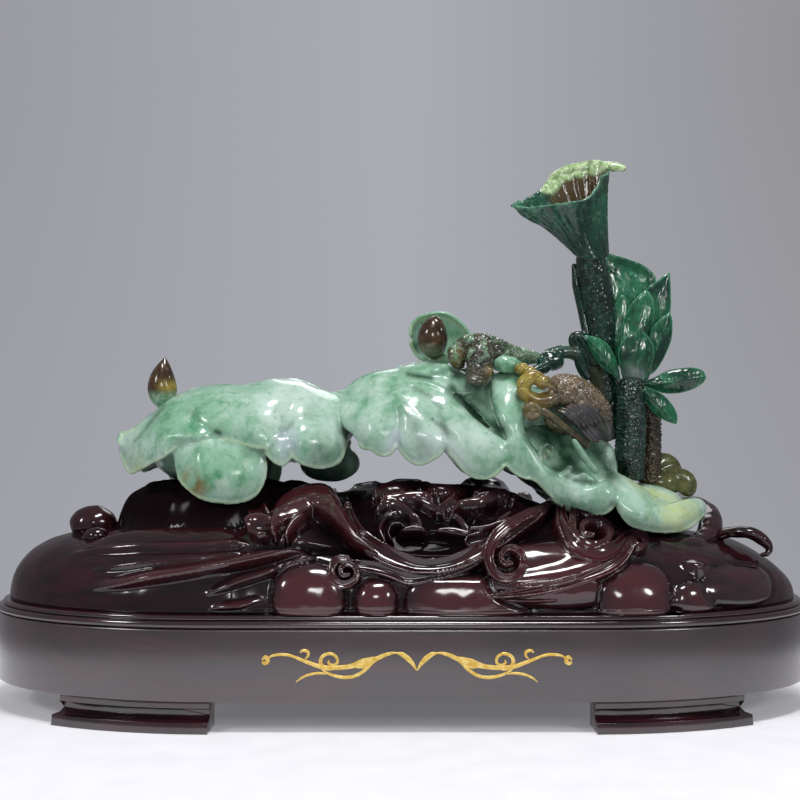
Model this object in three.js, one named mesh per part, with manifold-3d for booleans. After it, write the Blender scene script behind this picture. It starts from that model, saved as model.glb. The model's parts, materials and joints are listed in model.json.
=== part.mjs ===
// Jade carving of lotus leaves, a flower and two birds, on a carved rosewood stand with an oval plinth.
// Millimetres, +Z up. +X runs along the plinth and the front faces -Y.
// The origin is the middle of the plinth's footprint, on the table.
import * as THREE from 'three';
import { mergeVertices } from 'three/addons/utils/BufferGeometryUtils.js';
import Module from 'manifold-3d';

const wasm = await Module();
wasm.setup();

// Gap that neighbouring carved pieces keep to each other
const pieceGap = 0.4;

// Plinth: straight front and back, half ellipse at each end
const plinthLength = 560;
const plinthDepth = 238;
const roundEndReach = 166;
const footHeight = 18;
const bandHeight = 45;
const railThickness = 20;
const bottomBoardThickness = 6;

// Top board of the plinth, with two beads and a groove between them
const boardThickness = 8;
const lowerBeadHeight = 4.6;
const beadStep = 1;
const lowerBeadSetback = 2.5;
const upperBeadSetback = 2;

// Feet: blocks that follow the band, with a waist and a toe that reaches past the band
const footLength = 100;
const footStartSetback = 5;
const footDepth = 24;
const footLipSetback = 3;
const footLipHeight = 4;
const footWaistSetback = 7.5;
const toeReach = 4.5;
const toeHeight = 6.6;
const toeRamp = 2.4;

// Screws, all of one pattern
const screwShankRadius = 2;
const screwHeadRadius = 4.5;
const screwHeadDepth = 3;
const footScrewLength = 32;
const footScrewRecess = 5;
const footScrewSpacing = 44;
const standScrewLength = 30;
const standScrewAcross = 160;
const standScrewDepthSpan = 100;

// Gold scroll on the front of the plinth, two mirrored halves
const inlayLength = 193;
const inlayHeight = 21;
const inlayOffset = 9;
const inlayThickness = 0.6;
const inlayStroke = 1.5;
const inlayLeafWidth = 3.4;

// Carved mound on the plinth
const moundEndSetback = 8;
const moundSideSetback = 10;
const crestHeight = 78;
const armRadius = 9;
const scrollRadius = 5.4;
const tendrilRadius = 3.6;
const foldRadius = 5;
const swellDepth = 17;
const bowlDepth = 15;
const knobRadius = 16;
const rimRadius = 7;
const stumpRadius = 5.5;

// Jade leaves, each in a box of its own. The three large ones overlap in a row; rise is from the crest.
const leafOut = -119;
const leafOverlap = 4;
const rightLeafOverlap = 24;
const leafLeft = { length: 166, depth: 124, height: 88, rise: 33, blade: 9, out: leafOut, back: 0 };
const leafMiddle = { length: 150, depth: 108, height: 90, rise: 46, blade: 8, back: 0 };
const leafRight = { length: 128, depth: 118, height: 66, rise: 1, blade: 8, back: 0 };
leafMiddle.out = leafLeft.out + (leafLeft.length + leafMiddle.length) / 2 - leafOverlap;
leafRight.out = leafMiddle.out + (leafMiddle.length + leafRight.length) / 2 - rightLeafOverlap;

// A motif's box placed on the motif that carries it, from shares of the carrier's half sizes
function carried(carrier, [x, y, z], sizes) {
  return {
    out: carrier.out + (x * carrier.length) / 2,
    back: carrier.back + (y * carrier.depth) / 2,
    rise: carrier.rise + (z * carrier.height) / 2,
    ...sizes,
  };
}

const upperPlaceShares = [-0.107, 0.167, 1.244];
const olivePlaceShares = [0.41, 0.1, 0.21];
const upperSizes = { length: 44, depth: 26, height: 40, blade: 5 };
const oliveSizes = { length: 46, depth: 22, height: 34, blade: 5 };
const leafUpper = carried(leafMiddle, upperPlaceShares, upperSizes);
const leafOlive = carried(leafRight, olivePlaceShares, oliveSizes);

// Flower group: flower, stalks, buds, side leaf and the rolled leaf on top of the back stalk
const flowerPlaceShares = [0.28, -0.1, 2.73];
const sideLeafPlaceShares = [-0.19, 0.73, 0.37];
const flowerSizes = { length: 84, depth: 44, height: 114, blade: 5 };
const sideLeafSizes = { length: 44, depth: 26, height: 44, blade: 5 };
const flower = carried(leafRight, flowerPlaceShares, flowerSizes);
const sideLeaf = carried(flower, sideLeafPlaceShares, sideLeafSizes);
const rolled = { length: 84, depth: 56, height: 74, wall: 4.5 };
const stalkTopShift = 3.7;
const frontStalkRadius = 9.6;
const rightStalkRadius = 6.6;
const backStalkRadius = 10.5;
const budHalfWidth = 10;
const budHeight = 36;
const darkBudHalfWidth = 10.5;
const darkBudHeight = 29;

// Birds, and the twig and perch by the lower one
const birdLength = 62;
const birdGirth = 25;
const birdHeadRadius = 10;
const twigRadius = 4.2;
const teaKnobRadius = 9;
const upperBirdPlaceShares = [0.253, -0.26, 0.98];
const lowerBirdPlaceShares = [-0.5, -0.458, 2.03];
const birdBox = { length: birdLength, depth: birdLength, height: birdLength };
const upperBirdPlace = carried(leafMiddle, upperBirdPlaceShares, birdBox);
const lowerBirdPlace = carried(leafRight, lowerBirdPlaceShares, birdBox);

// Heights and half sizes worked out from the driving dimensions
const bandTop = footHeight + bandHeight;
const deckTop = bandTop + boardThickness;
const crestTop = deckTop + crestHeight;
const frontReach = plinthDepth / 2;
const straightHalf = plinthLength / 2 - roundEndReach;
const moundHalfLength = plinthLength / 2 - moundEndSetback;
const moundHalfDepth = plinthDepth / 2 - moundSideSetback;

// Counts that set how finely the surfaces are divided
const endSteps = 16;
const straightSteps = 9;
const lobeSides = 8;
const lobeSteps = 5;
const barSides = 6;
const barSteps = 8;
const strokeSteps = 3;
const scrollSteps = 10;
const padSides = 16;
const foldSteps = 6;
const stalkSteps = 8;
const footSteps = 6;

// Finishes, close to the photographed colours
const rosewood = { color: 0x3a1512, roughness: 0.28, metalness: 0 };
const gilt = { color: 0xcf9f3c, roughness: 0.35, metalness: 1 };
const steel = { color: 0x8d8a86, roughness: 0.4, metalness: 1 };
const paleJade = { color: 0xa9cfae, roughness: 0.22, metalness: 0 };
const greenJade = { color: 0x1f6b46, roughness: 0.22, metalness: 0 };
const darkJade = { color: 0x1d2f22, roughness: 0.25, metalness: 0 };
const brownJade = { color: 0x6d5320, roughness: 0.28, metalness: 0 };

const up = new THREE.Vector3(0, 0, 1);
const towardsBack = new THREE.Vector3(0, 1, 0);

// Turns a list of points and triangles into a solid
function solidFrom(points, triangles) {
  const geometry = new THREE.BufferGeometry();
  geometry.setAttribute('position', new THREE.Float32BufferAttribute(points.flatMap((p) => p.toArray()), 3));
  geometry.setIndex(triangles.flat());
  return solidOf(geometry);
}

// Turns a closed three.js geometry into a solid
function solidOf(geometry) {
  const bare = geometry.clone();
  bare.deleteAttribute('normal');
  bare.deleteAttribute('uv');
  const merged = mergeVertices(bare);
  const vertProperties = new Float32Array(merged.attributes.position.array);
  const triVerts = new Uint32Array(merged.index.array);
  return new wasm.Manifold(new wasm.Mesh({ numProp: 3, vertProperties, triVerts }));
}

// Joins solids into one
function joined(solids) {
  return solids.reduce((whole, piece) => whole.add(piece));
}

// The largest body of a cut solid, without the crumbs that the cut leaves
function mainBody(solid) {
  const bodies = solid.decompose();
  return bodies.reduce((best, body) => (body.volume() > best.volume() ? body : best));
}

// True where the boxes of two solids meet
function near(one, other) {
  const a = one.boundingBox();
  const b = other.boundingBox();
  return [0, 1, 2].every((axis) => a.min[axis] <= b.max[axis] && b.min[axis] <= a.max[axis]);
}

// A solid less the pieces beside it
function cutBy(solid, cutters) {
  const reaching = cutters.filter((cutter) => near(solid, cutter));
  return mainBody(reaching.reduce((rest, cutter) => rest.subtract(cutter), solid));
}

// Closed rings of equal count, one above the other, with a flat cap at each end
function loft(rings) {
  const points = rings.flat();
  const count = rings[0].length;
  const triangles = [];
  for (let ring = 0; ring + 1 < rings.length; ring += 1) {
    for (let i = 0; i < count; i += 1) {
      const a = ring * count + i;
      const b = ring * count + ((i + 1) % count);
      triangles.push([a, b, b + count], [a, b + count, a + count]);
    }
  }
  const middle = (ring) => ring.reduce((sum, p) => sum.add(p), new THREE.Vector3()).divideScalar(count);
  const first = points.push(middle(rings[0])) - 1;
  const last = points.push(middle(rings.at(-1))) - 1;
  const base = (rings.length - 1) * count;
  for (let i = 0; i < count; i += 1) {
    const next = (i + 1) % count;
    triangles.push([first, next, i], [last, base + i, base + next]);
  }
  return solidFrom(points, triangles);
}

// Width of a petal along its length: the lean moves its widest place, the fullness squares it
function petalShare(s, lean, fullness) {
  return Math.sqrt(Math.max(0, 1 - Math.abs(2 * s ** lean - 1) ** fullness));
}

// A bar along a route with a half width, a half thickness, a facing direction and an inward cup
function sweep(points, options) {
  const { half, thick, facing, cupShare = 0, steps = lobeSteps, sides = lobeSides, grow = 0 } = options;
  const route = new THREE.CatmullRomCurve3(points.map((p) => new THREE.Vector3(...p)));
  const rings = [];
  for (let step = 1; step < steps; step += 1) {
    const s = (1 - Math.cos((Math.PI * step) / steps)) / 2;
    const along = route.getTangent(s);
    const side = new THREE.Vector3().crossVectors(facing, along).normalize();
    const out = new THREE.Vector3().crossVectors(along, side).normalize();
    const ring = [];
    for (let i = 0; i < sides; i += 1) {
      const angle = (2 * Math.PI * i) / sides;
      const across = (half(s) + grow) * Math.cos(angle);
      const lift = (thick(s) + grow) * Math.sin(angle) - cupShare * half(s) * Math.cos(angle) ** 2;
      ring.push(route.getPoint(s).addScaledVector(side, across).addScaledVector(out, lift));
    }
    rings.push(ring);
  }
  const start = route.getPoint(0).addScaledVector(route.getTangent(0), -grow);
  const end = route.getPoint(1).addScaledVector(route.getTangent(1), grow);
  const ringPoints = rings.flat();
  const triangles = [];
  for (let ring = 0; ring + 1 < rings.length; ring += 1) {
    for (let i = 0; i < sides; i += 1) {
      const a = ring * sides + i;
      const b = ring * sides + ((i + 1) % sides);
      triangles.push([a, b, b + sides], [a, b + sides, a + sides]);
    }
  }
  const first = ringPoints.push(start) - 1;
  const last = ringPoints.push(end) - 1;
  const base = (rings.length - 1) * sides;
  for (let i = 0; i < sides; i += 1) {
    const next = (i + 1) % sides;
    triangles.push([first, next, i], [last, base + i, base + next]);
  }
  return solidFrom(ringPoints, triangles);
}

// A round bar whose radius follows shares of its largest radius
function roundBar(points, radius, radiusShares, facing, { steps = barSteps, grow = 0 } = {}) {
  const profile = (s) => {
    const at = s * (radiusShares.length - 1);
    const low = Math.min(Math.floor(at), radiusShares.length - 2);
    const blend = at - low;
    const share = radiusShares[low] * (1 - blend) + radiusShares[low + 1] * blend;
    return radius * share * petalShare(s, 1, 12);
  };
  return sweep(points, { half: profile, thick: profile, facing, steps, sides: barSides, grow });
}

// An ellipsoid with half sizes along the three axes
function blob(center, halves, { grow = 0, columns = 10, rows = 6 } = {}) {
  const geometry = new THREE.SphereGeometry(1, columns, rows);
  geometry.rotateX(Math.PI / 2);
  geometry.scale(...halves.map((size) => size + grow));
  geometry.translate(...center);
  return solidOf(geometry);
}

// An upright turned solid from a profile of radius and height
function turned(profile, [x, y, z], sides = 8) {
  const geometry = new THREE.LatheGeometry(profile.map(([r, h]) => new THREE.Vector2(r, h)), sides);
  geometry.rotateX(Math.PI / 2);
  geometry.translate(x, y, z);
  return solidOf(geometry);
}

// A rectangular block between two corners
function block(low, high) {
  const size = high.map((value, axis) => value - low[axis]);
  const geometry = new THREE.BoxGeometry(...size);
  geometry.translate(...low.map((value, axis) => value + size[axis] / 2));
  return solidOf(geometry);
}

// Plan of an oval: straight front and back between two half ellipses
function ovalPlan(endHalf, halfDepth, steps, straightSteps) {
  const plan = [];
  for (const side of [1, -1]) {
    for (let step = 0; step <= steps; step += 1) {
      const angle = (Math.PI * step) / steps - Math.PI / 2;
      plan.push([side * (straightHalf + endHalf * Math.cos(angle)), side * halfDepth * Math.sin(angle)]);
    }
    for (let step = 1; step < straightSteps; step += 1) {
      plan.push([side * straightHalf * (1 - (2 * step) / straightSteps), side * halfDepth]);
    }
  }
  return plan;
}

// One ring of the plinth's oval, set back from the band's face, at one height
function ovalRing(setback, z) {
  const plan = ovalPlan(roundEndReach - setback, frontReach - setback, endSteps, 1);
  return plan.map(([x, y]) => new THREE.Vector3(x, y, z));
}

function topBoard() {
  const beadTop = bandTop + lowerBeadHeight;
  const upperSetback = lowerBeadSetback + beadStep;
  return loft([
    ovalRing(0, bandTop),
    ovalRing(0, bandTop + lowerBeadHeight / 2),
    ovalRing(lowerBeadSetback / 3, bandTop + lowerBeadHeight * 0.82),
    ovalRing(lowerBeadSetback, beadTop),
    ovalRing(upperSetback, beadTop),
    ovalRing(upperSetback, beadTop + (boardThickness - lowerBeadHeight) / 2),
    ovalRing(upperSetback + upperBeadSetback, deckTop),
  ]);
}

function rail(side) {
  const faces = [side * frontReach, side * (frontReach - railThickness)].sort((a, b) => a - b);
  return block([-straightHalf, faces[0], footHeight], [straightHalf, faces[1], bandTop]);
}

function endBlock(side) {
  const ring = (z) => ovalRing(0, z).filter((p) => p.x * side >= straightHalf - pieceGap);
  return loft([ring(footHeight), ring(bandTop)]);
}

function bottomBoard() {
  const reach = frontReach - railThickness;
  return block([-straightHalf, -reach, footHeight], [straightHalf, reach, footHeight + bottomBoardThickness]);
}

// A foot follows the round end from just past the straight front.
// Each point of its section is an outward offset and a height.
function foot(sideX, sideY) {
  const section = [
    [-footDepth, 0], [toeReach, 0], [toeReach - toeRamp / 4, toeHeight],
    [-footLipSetback, toeHeight + toeRamp / 4], [-footWaistSetback, toeHeight + toeRamp],
    [-footWaistSetback, footHeight - footLipHeight - toeRamp / 2],
    [-footLipSetback, footHeight - footLipHeight], [-footLipSetback, footHeight], [-footDepth, footHeight],
  ];
  const first = Math.asin(footStartSetback / roundEndReach);
  const last = Math.asin((footStartSetback + footLength) / roundEndReach);
  const rings = [];
  for (let step = 0; step <= footSteps; step += 1) {
    const angle = first + ((last - first) * step) / footSteps;
    const sine = Math.sin(angle);
    const cosine = Math.cos(angle);
    const outward = new THREE.Vector2(frontReach * sine, -roundEndReach * cosine).normalize();
    const x = straightHalf + roundEndReach * sine;
    const y = -frontReach * cosine;
    rings.push(section.map(([out, z]) => new THREE.Vector3(
      sideX * (x + outward.x * out), -sideY * (y + outward.y * out), z)));
  }
  return loft(sideX * sideY < 0 ? rings.reverse() : rings);
}

// Middle line of a foot, where its screws go up
function footScrewPlace(sideX, sideY, along) {
  const angle = Math.asin((footStartSetback + footLength / 2 + along) / roundEndReach);
  const inset = footDepth / 2;
  return [
    sideX * (straightHalf + (roundEndReach - inset) * Math.sin(angle)),
    sideY * (frontReach - inset) * Math.cos(angle),
  ];
}

// A countersunk wood screw that points up from its head
function screw([x, y], z, length, grow = 0) {
  const shank = screwShankRadius + grow;
  const head = screwHeadRadius + grow;
  return turned([
    [0, -grow], [head, -grow], [shank, screwHeadDepth + grow], [shank, length - screwShankRadius],
    [0, length + grow],
  ], [x, y, z]);
}

// Clear bore below a recessed screw head
function screwBore([x, y], z, depth) {
  const radius = screwHeadRadius + pieceGap;
  return turned([[0, -depth], [radius, -depth], [radius, 0], [0, 0]], [x, y, z]);
}

// Height shares of the mound's crest along its length
const crestShares = [
  [-1, 0.72], [-0.74, 0.64], [-0.44, 0.64], [-0.22, 0.88], [0, 1], [0.22, 0.96], [0.40, 0.78], [0.62, 0.60],
  [0.85, 0.60], [1, 0.46],
];

function crestAt(x) {
  const u = THREE.MathUtils.clamp(x / moundHalfLength, -1, 1);
  const next = Math.max(1, crestShares.findIndex(([at]) => u <= at));
  const [fromAt, from] = crestShares[next - 1];
  const [toAt, to] = crestShares[next];
  return crestHeight * THREE.MathUtils.lerp(from, to, THREE.MathUtils.smoothstep(u, fromAt, toAt));
}

// Scale of the footprint on which a place lies: 1 on its edge
function footprintShare(x, y) {
  const endHalf = moundHalfLength - straightHalf;
  const a = Math.abs(x);
  const b = Math.abs(y) / moundHalfDepth;
  if (b * straightHalf >= a) return b;
  const flat = (straightHalf / endHalf) ** 2 - 1;
  const cross = (a * straightHalf) / endHalf ** 2;
  const rest = (a / endHalf) ** 2 + b * b;
  if (Math.abs(flat) < 1e-9) return rest / (2 * cross);
  return (cross - Math.sqrt(Math.max(0, cross * cross - flat * rest))) / flat;
}

// Height of the bare mound over the deck
function moundHeight(x, y) {
  const rho = Math.min(1, footprintShare(x, y));
  const lengthways = Math.abs(x) / Math.max(Math.hypot(x, (y * moundHalfLength) / moundHalfDepth), 1e-6);
  const fullness = 2.4 + 4 * lengthways ** 2;
  return crestAt(x) * Math.max(0, 1 - rho ** fullness) ** 0.45;
}

// The bare mound: rings from its foot to its top
function moundBody() {
  const rhoShares = [1, 0.99, 0.96, 0.91, 0.83, 0.70, 0.52, 0.30];
  const plan = ovalPlan(moundHalfLength - straightHalf, moundHalfDepth, endSteps, straightSteps);
  const rings = rhoShares.map((rho) => plan.map(([x, y]) => {
    const z = rho < 1 ? deckTop + moundHeight(x * rho, y * rho) : deckTop;
    return new THREE.Vector3(x * rho, y * rho, z);
  }));
  return loft(rings);
}

// Point on the mound's front or back face at a share of its half length and of its crest height
function onFace([xShare, zShare], sideY, sink) {
  const x = xShare * moundHalfLength;
  const z = zShare * crestHeight;
  const steps = 160;
  for (let step = 0; step <= steps; step += 1) {
    const y = moundHalfDepth * (1 - step / steps);
    if (moundHeight(x, sideY * y) >= z) return [x, sideY * (y - sink), deckTop + z];
  }
  return [x, 0, deckTop + moundHeight(x, 0)];
}

// Routes of the carved scrolls, as shares of the half length and of the crest height
const armShares = [[-0.345, 0.61], [-0.295, 0.67], [-0.235, 0.80], [-0.18, 0.82], [-0.145, 0.70],
  [-0.11, 0.55], [-0.07, 0.46]];
const crescentShares = [[-0.124, 0.78], [-0.105, 0.60], [-0.056, 0.465], [0.025, 0.355], [0.105, 0.35],
  [0.18, 0.46], [0.25, 0.60], [0.32, 0.75]];
const lowerShares = [[-0.14, 0.33], [-0.07, 0.34], [-0.02, 0.30], [0.03, 0.25], [0.11, 0.30], [0.19, 0.41]];
const curlShares = [[0.33, 0.78], [0.25, 0.645], [0.205, 0.49], [0.203, 0.335], [0.24, 0.26], [0.28, 0.35],
  [0.25, 0.455]];
const ramShares = [[0.372, 0.79], [0.367, 0.66], [0.385, 0.53], [0.43, 0.43], [0.49, 0.445], [0.54, 0.55]];
const ramEyeShares = [[0.40, 0.72], [0.402, 0.57], [0.445, 0.49], [0.478, 0.57], [0.45, 0.67]];
const trailShares = [[0.523, 0.43], [0.504, 0.36], [0.436, 0.255], [0.352, 0.178], [0.274, 0.14], [0.2, 0.115]];
const scrolls = [
  { routeShares: armShares, radius: armRadius, taperShares: [0.9, 1, 0.9, 0.8, 0.7, 0.5, 0.35] },
  { routeShares: crescentShares, radius: scrollRadius },
  { routeShares: lowerShares, radius: tendrilRadius },
  { routeShares: curlShares, radius: tendrilRadius },
  { routeShares: ramShares, radius: scrollRadius },
  { routeShares: ramEyeShares, radius: tendrilRadius },
  { routeShares: trailShares, radius: tendrilRadius },
];

// Drapery folds that fan down from the crest: start and end shares
const foldShares = [
  [[-0.36, 0.56], [-0.95, 0.16]], [[-0.34, 0.50], [-0.80, 0.10]], [[-0.33, 0.44], [-0.62, 0.10]],
  [[0.60, 0.50], [0.84, 0.16]], [[0.64, 0.52], [0.93, 0.22]],
];

// Pillow swells low on the face: middle of each, with its half length and half height as shares
const swellShares = [
  [-0.214, 0.158, 0.087, 0.22], [-0.06, 0.10, 0.052, 0.14], [0.16, 0.124, 0.141, 0.17],
  [0.362, 0.31, 0.16, 0.28], [0.546, 0.15, 0.085, 0.22], [0.682, 0.13, 0.047, 0.12],
];

// Bowls sunk between the scrolls, in the same form
const bowlShares = [[0.02, 0.65, 0.12, 0.17], [0.16, 0.74, 0.09, 0.12]];

// Pebble knobs at the left shoulder: along and back as shares, size as a share of the largest, and how far
// the middle stands over the mound as a share of the size
const knobShares = [
  [-0.765, -0.35, 1, 0.55], [-0.667, -0.44, 0.64, 0.4], [-0.74, -0.57, 0.54, 0.2], [-0.694, -0.57, 0.36, 0.1],
];

// Rim of the cradle behind the right leaf, and the curled stump beside it
const rimShares = [
  [0.785, 0.42, 0.74], [0.80, 0.24, 0.74], [0.80, 0, 0.68], [0.766, -0.24, 0.55], [0.67, -0.48, 0.46],
];
const stumpShares = [
  [0.79, -0.15, 0.53], [0.836, -0.31, 0.58], [0.875, -0.355, 0.55], [0.905, -0.385, 0.46], [0.885, -0.39, 0.40],
];

function onMound([xShare, yShare, zShare]) {
  return [xShare * moundHalfLength, yShare * moundHalfDepth, deckTop + zShare * crestHeight];
}

// Pads of rock that rise into the two seats of the jade: place, top and half sizes as shares of the leaf above
const leftPadShares = [[-0.036, 0, -0.73], [0.976, 0.968]];
const rightPadShares = [[-0.094, 0, -0.55], [0.844, 0.915]];

// A pad's outline from its foot up, as shares of its half sizes and of its height
const padOutlineShares = [[1, -0.1], [0.99, 0.36], [0.95, 0.65], [0.88, 0.84], [0.76, 0.95], [0.5, 1]];

// How the bars' radii run along them, as shares of the largest
const scrollTaperShares = [0.5, 1, 1, 1, 0.6];
const foldTaperShares = [0.5, 0.8, 1];
const rimTaperShares = [0.7, 1, 1, 1, 0.8];
const stumpTaperShares = [0.9, 1, 1, 0.8, 0.5];
const foldBulgeShare = 0.05;
const knobFlatShare = 0.75;
const swellSinkShare = 0.55;
const bowlRiseShare = 0.2;

// The scrolls of one face, half sunk in the mound
function carvedScrolls(side) {
  const facing = new THREE.Vector3(0, side, 0.35);
  return scrolls.map(({ routeShares, radius, taperShares = scrollTaperShares }) => {
    const route = routeShares.map(([x, z]) => onFace([-side * x, z], side, radius / 5));
    return roundBar(route, radius, taperShares, facing, { steps: scrollSteps });
  });
}

// The drapery folds of one face
function carvedFolds(side) {
  const facing = new THREE.Vector3(0, side, 0.5);
  return foldShares.map(([from, to]) => {
    const middle = [(from[0] + to[0]) / 2, (from[1] + to[1]) / 2 + foldBulgeShare];
    const route = [from, middle, to].map(([x, z]) => onFace([-side * x, z], side, foldRadius / 2));
    return roundBar(route, foldRadius, foldTaperShares, facing, { steps: foldSteps });
  });
}

// The pillow swells of one face
function carvedSwells(side) {
  return swellShares.map(([x, z, halfX, halfZ]) => {
    const center = onFace([-side * x, z], side, swellDepth * swellSinkShare);
    return blob(center, [halfX * moundHalfLength, swellDepth, halfZ * crestHeight]);
  });
}

// The bowls of one face
function carvedBowls(side) {
  return bowlShares.map(([x, z, halfX, halfZ]) => {
    const center = onFace([-side * x, z], side, -bowlDepth * bowlRiseShare);
    return blob(center, [halfX * moundHalfLength, bowlDepth, halfZ * crestHeight]);
  });
}

// A pad of rock under a leaf
function rockPad(leaf, [[middleX, middleY, top], [halfX, halfY]]) {
  const rings = padOutlineShares.map(([reach, rise]) => {
    const ring = [];
    for (let i = 0; i < padSides; i += 1) {
      const angle = (2 * Math.PI * i) / padSides;
      const across = middleX + halfX * reach * Math.cos(angle);
      const away = middleY + halfY * reach * Math.sin(angle);
      const [x, y, z] = inBox(leaf, [across, away, top]);
      ring.push(new THREE.Vector3(x, y, THREE.MathUtils.lerp(deckTop, z, rise)));
    }
    return ring;
  });
  return loft(rings);
}

// The knobs, the cradle's rim, the stump and the two pads under the jade
function carvedRocks() {
  const knobs = knobShares.map(([xShare, yShare, sizeShare, riseShare]) => {
    const [x, y] = onMound([xShare, yShare, 0]);
    const size = sizeShare * knobRadius;
    return blob([x, y, deckTop + moundHeight(x, y) + riseShare * size], [size, size, size * knobFlatShare]);
  });
  const pads = [rockPad(leafLeft, leftPadShares), rockPad(leafRight, rightPadShares)];
  const rim = roundBar(rimShares.map(onMound), rimRadius, rimTaperShares, up, { steps: scrollSteps });
  const stump = roundBar(stumpShares.map(onMound), stumpRadius, stumpTaperShares, towardsBack);
  return [...knobs, ...pads, rim, stump];
}

function standCarving() {
  const sides = [-1, 1];
  const bowls = joined(sides.flatMap(carvedBowls));
  const faces = sides.flatMap((side) => [
    ...carvedScrolls(side), ...carvedFolds(side), ...carvedSwells(side)]);
  const underside = block(
    [-plinthLength, -plinthDepth, deckTop - crestHeight], [plinthLength, plinthDepth, deckTop]);
  return joined([moundBody().subtract(bowls), ...faces, ...carvedRocks()]).subtract(underside);
}

// A place in a motif's box, from shares of its half sizes
function inBox(box, [x, y, z]) {
  return [
    box.out + (x * box.length) / 2,
    box.back + (y * box.depth) / 2,
    crestTop + box.rise + (z * box.height) / 2,
  ];
}

// How far along a lobe is widest, and how square its outline is
const lobeLean = 1.35;
const lobeFullness = 2.6;

// A hanging lobe or petal of a motif, from root to tip, bowed away from the motif's middle
function lobe(box, [root, tip, widthShare, bowShare = 0.22], grow) {
  const from = new THREE.Vector3(...inBox(box, root));
  const to = new THREE.Vector3(...inBox(box, tip));
  const reach = from.distanceTo(to);
  const center = new THREE.Vector3(...inBox(box, [0, 0, -0.4]));
  const middle = from.clone().lerp(to, 0.5);
  const outward = middle.clone().sub(center).normalize();
  middle.addScaledVector(outward, reach * bowShare);
  const half = (s) => ((widthShare * box.length) / 2) * petalShare(s, lobeLean, lobeFullness);
  const thick = (s) => (box.blade / 2) * petalShare(s, 1, 6);
  const points = [from, middle, to].map((p) => p.toArray());
  return sweep(points, { half, thick, facing: outward, cupShare: 0.18, grow });
}

function lobes(box, lobeShares, grow) {
  return lobeShares.map((shares) => lobe(box, shares, grow));
}

// The stone behind a leaf's lobes: place and half sizes as shares of the leaf's half sizes
function core(box, [at, halfShares], grow) {
  const halves = [
    (halfShares[0] * box.length) / 2, (halfShares[1] * box.depth) / 2, (halfShares[2] * box.height) / 2,
  ];
  return blob(inBox(box, at), halves, { grow, columns: 12, rows: 7 });
}

const leftLobeShares = [
  [[-0.47, 0, 0.60], [-0.83, -0.40, -0.48], 0.26],
  [[-0.12, -0.29, 0.56], [0.03, -1, -0.99], 0.37],
  [[0.14, 0, 0.81], [0.25, -0.81, -0.16], 0.45],
  [[0.59, -0.32, 0.48], [0.79, -0.89, -0.49], 0.26],
  [[0.65, 0, 0.70], [0.98, -0.48, -0.07], 0.22],
  [[-0.18, 0.24, 0.66], [-0.19, 0.97, -0.76], 0.39],
  [[0.51, 0.24, 0.66], [0.56, 0.94, -0.59], 0.34],
  [[-0.55, 0.08, 0.57], [-0.87, 0.56, -0.24], 0.26],
];
const leftCoreShares = [
  [[-0.26, 0, 0.0], [0.62, 0.74, 0.80]],
  [[0.44, 0, 0.22], [0.62, 0.68, 0.66]],
];

function leftLeaf(grow) {
  const cores = leftCoreShares.map((shares) => core(leafLeft, shares, grow));
  return joined([...cores, ...lobes(leafLeft, leftLobeShares, grow)]);
}

const middleLobeShares = [
  [[-0.91, -0.09, 0.34], [-0.84, -0.74, -0.46], 0.20],
  [[-0.75, -0.15, 0.45], [-0.66, -0.89, -0.59], 0.24],
  [[-0.49, -0.09, 0.50], [-0.32, -0.96, -0.72], 0.30],
  [[-0.11, -0.09, 0.65], [0.26, -0.96, -0.93], 0.41],
  [[0.54, -0.19, 0.34], [0.69, -0.93, -0.99], 0.34],
  [[-0.58, 0.15, 0.43], [-0.61, 0.93, -0.70], 0.34],
  [[-0.01, 0.15, 0.58], [0.06, 1, -0.86], 0.41],
  [[0.65, 0.19, 0.27], [0.78, 0.96, -0.94], 0.36],
];
const middleCoreShares = [
  [[-0.25, 0, 0.24], [0.84, 0.70, 0.58]],
  [[0.50, 0, 0.02], [0.62, 0.74, 0.62]],
];

function middleLeaf(grow) {
  const cores = middleCoreShares.map((shares) => core(leafMiddle, shares, grow));
  return joined([...cores, ...lobes(leafMiddle, middleLobeShares, grow)]);
}

const rightLobeShares = [
  [[-1.0, -0.34, 1.1], [-0.80, -0.85, -0.23], 0.30],
  [[-0.69, -0.25, 0.88], [-0.46, -0.93, -0.63], 0.36],
  [[0.07, -0.25, 0.56], [0.32, -0.98, -0.98], 0.50],
  [[0.48, -0.08, 0.02], [0.90, -0.51, -0.47], 0.31],
  [[-0.58, 0.25, 0.87], [-0.39, 0.93, -0.49], 0.39],
  [[0.09, 0.20, 0.44], [0.41, 0.85, -0.94], 0.44],
];
const rightCoreShares = [
  [[-0.08, 0, 0.0], [0.84, 0.74, 0.90]],
  [[-0.52, -0.1, 0.92], [0.46, 0.60, 0.96]],
];

function rightLeaf(grow) {
  const cores = rightCoreShares.map((shares) => core(leafRight, shares, grow));
  return joined([...cores, ...lobes(leafRight, rightLobeShares, grow)]);
}

const upperCoreShares = [
  [[-0.1, 0, 0.05], [0.78, 0.6, 0.86]],
  [[-0.55, -0.1, -0.6], [0.42, 0.7, 0.6]],
];

function upperLeaf(grow) {
  return joined(upperCoreShares.map((shares) => core(leafUpper, shares, grow)));
}

const oliveLobeShares = [
  [[-0.9, 0, -0.5], [0.1, 0.3, 0.9], 0.7],
  [[-0.6, -0.2, -0.7], [0.9, 0, 0.1], 0.7],
];

function oliveLeaf(grow) {
  return joined(lobes(leafOlive, oliveLobeShares, grow));
}

// A bud: a spindle with a pointed tip, on a short stem that goes into the leaf below
function bud([x, y, z], halfWidth, height, grow) {
  const half = (s) => halfWidth * petalShare(s, 0.85, 2.2);
  const route = [[x, y, z - height / 2], [x, y, z], [x + halfWidth / 4, y, z + height / 2]];
  return sweep(route, { half, thick: half, facing: towardsBack, grow, steps: barSteps });
}

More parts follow.
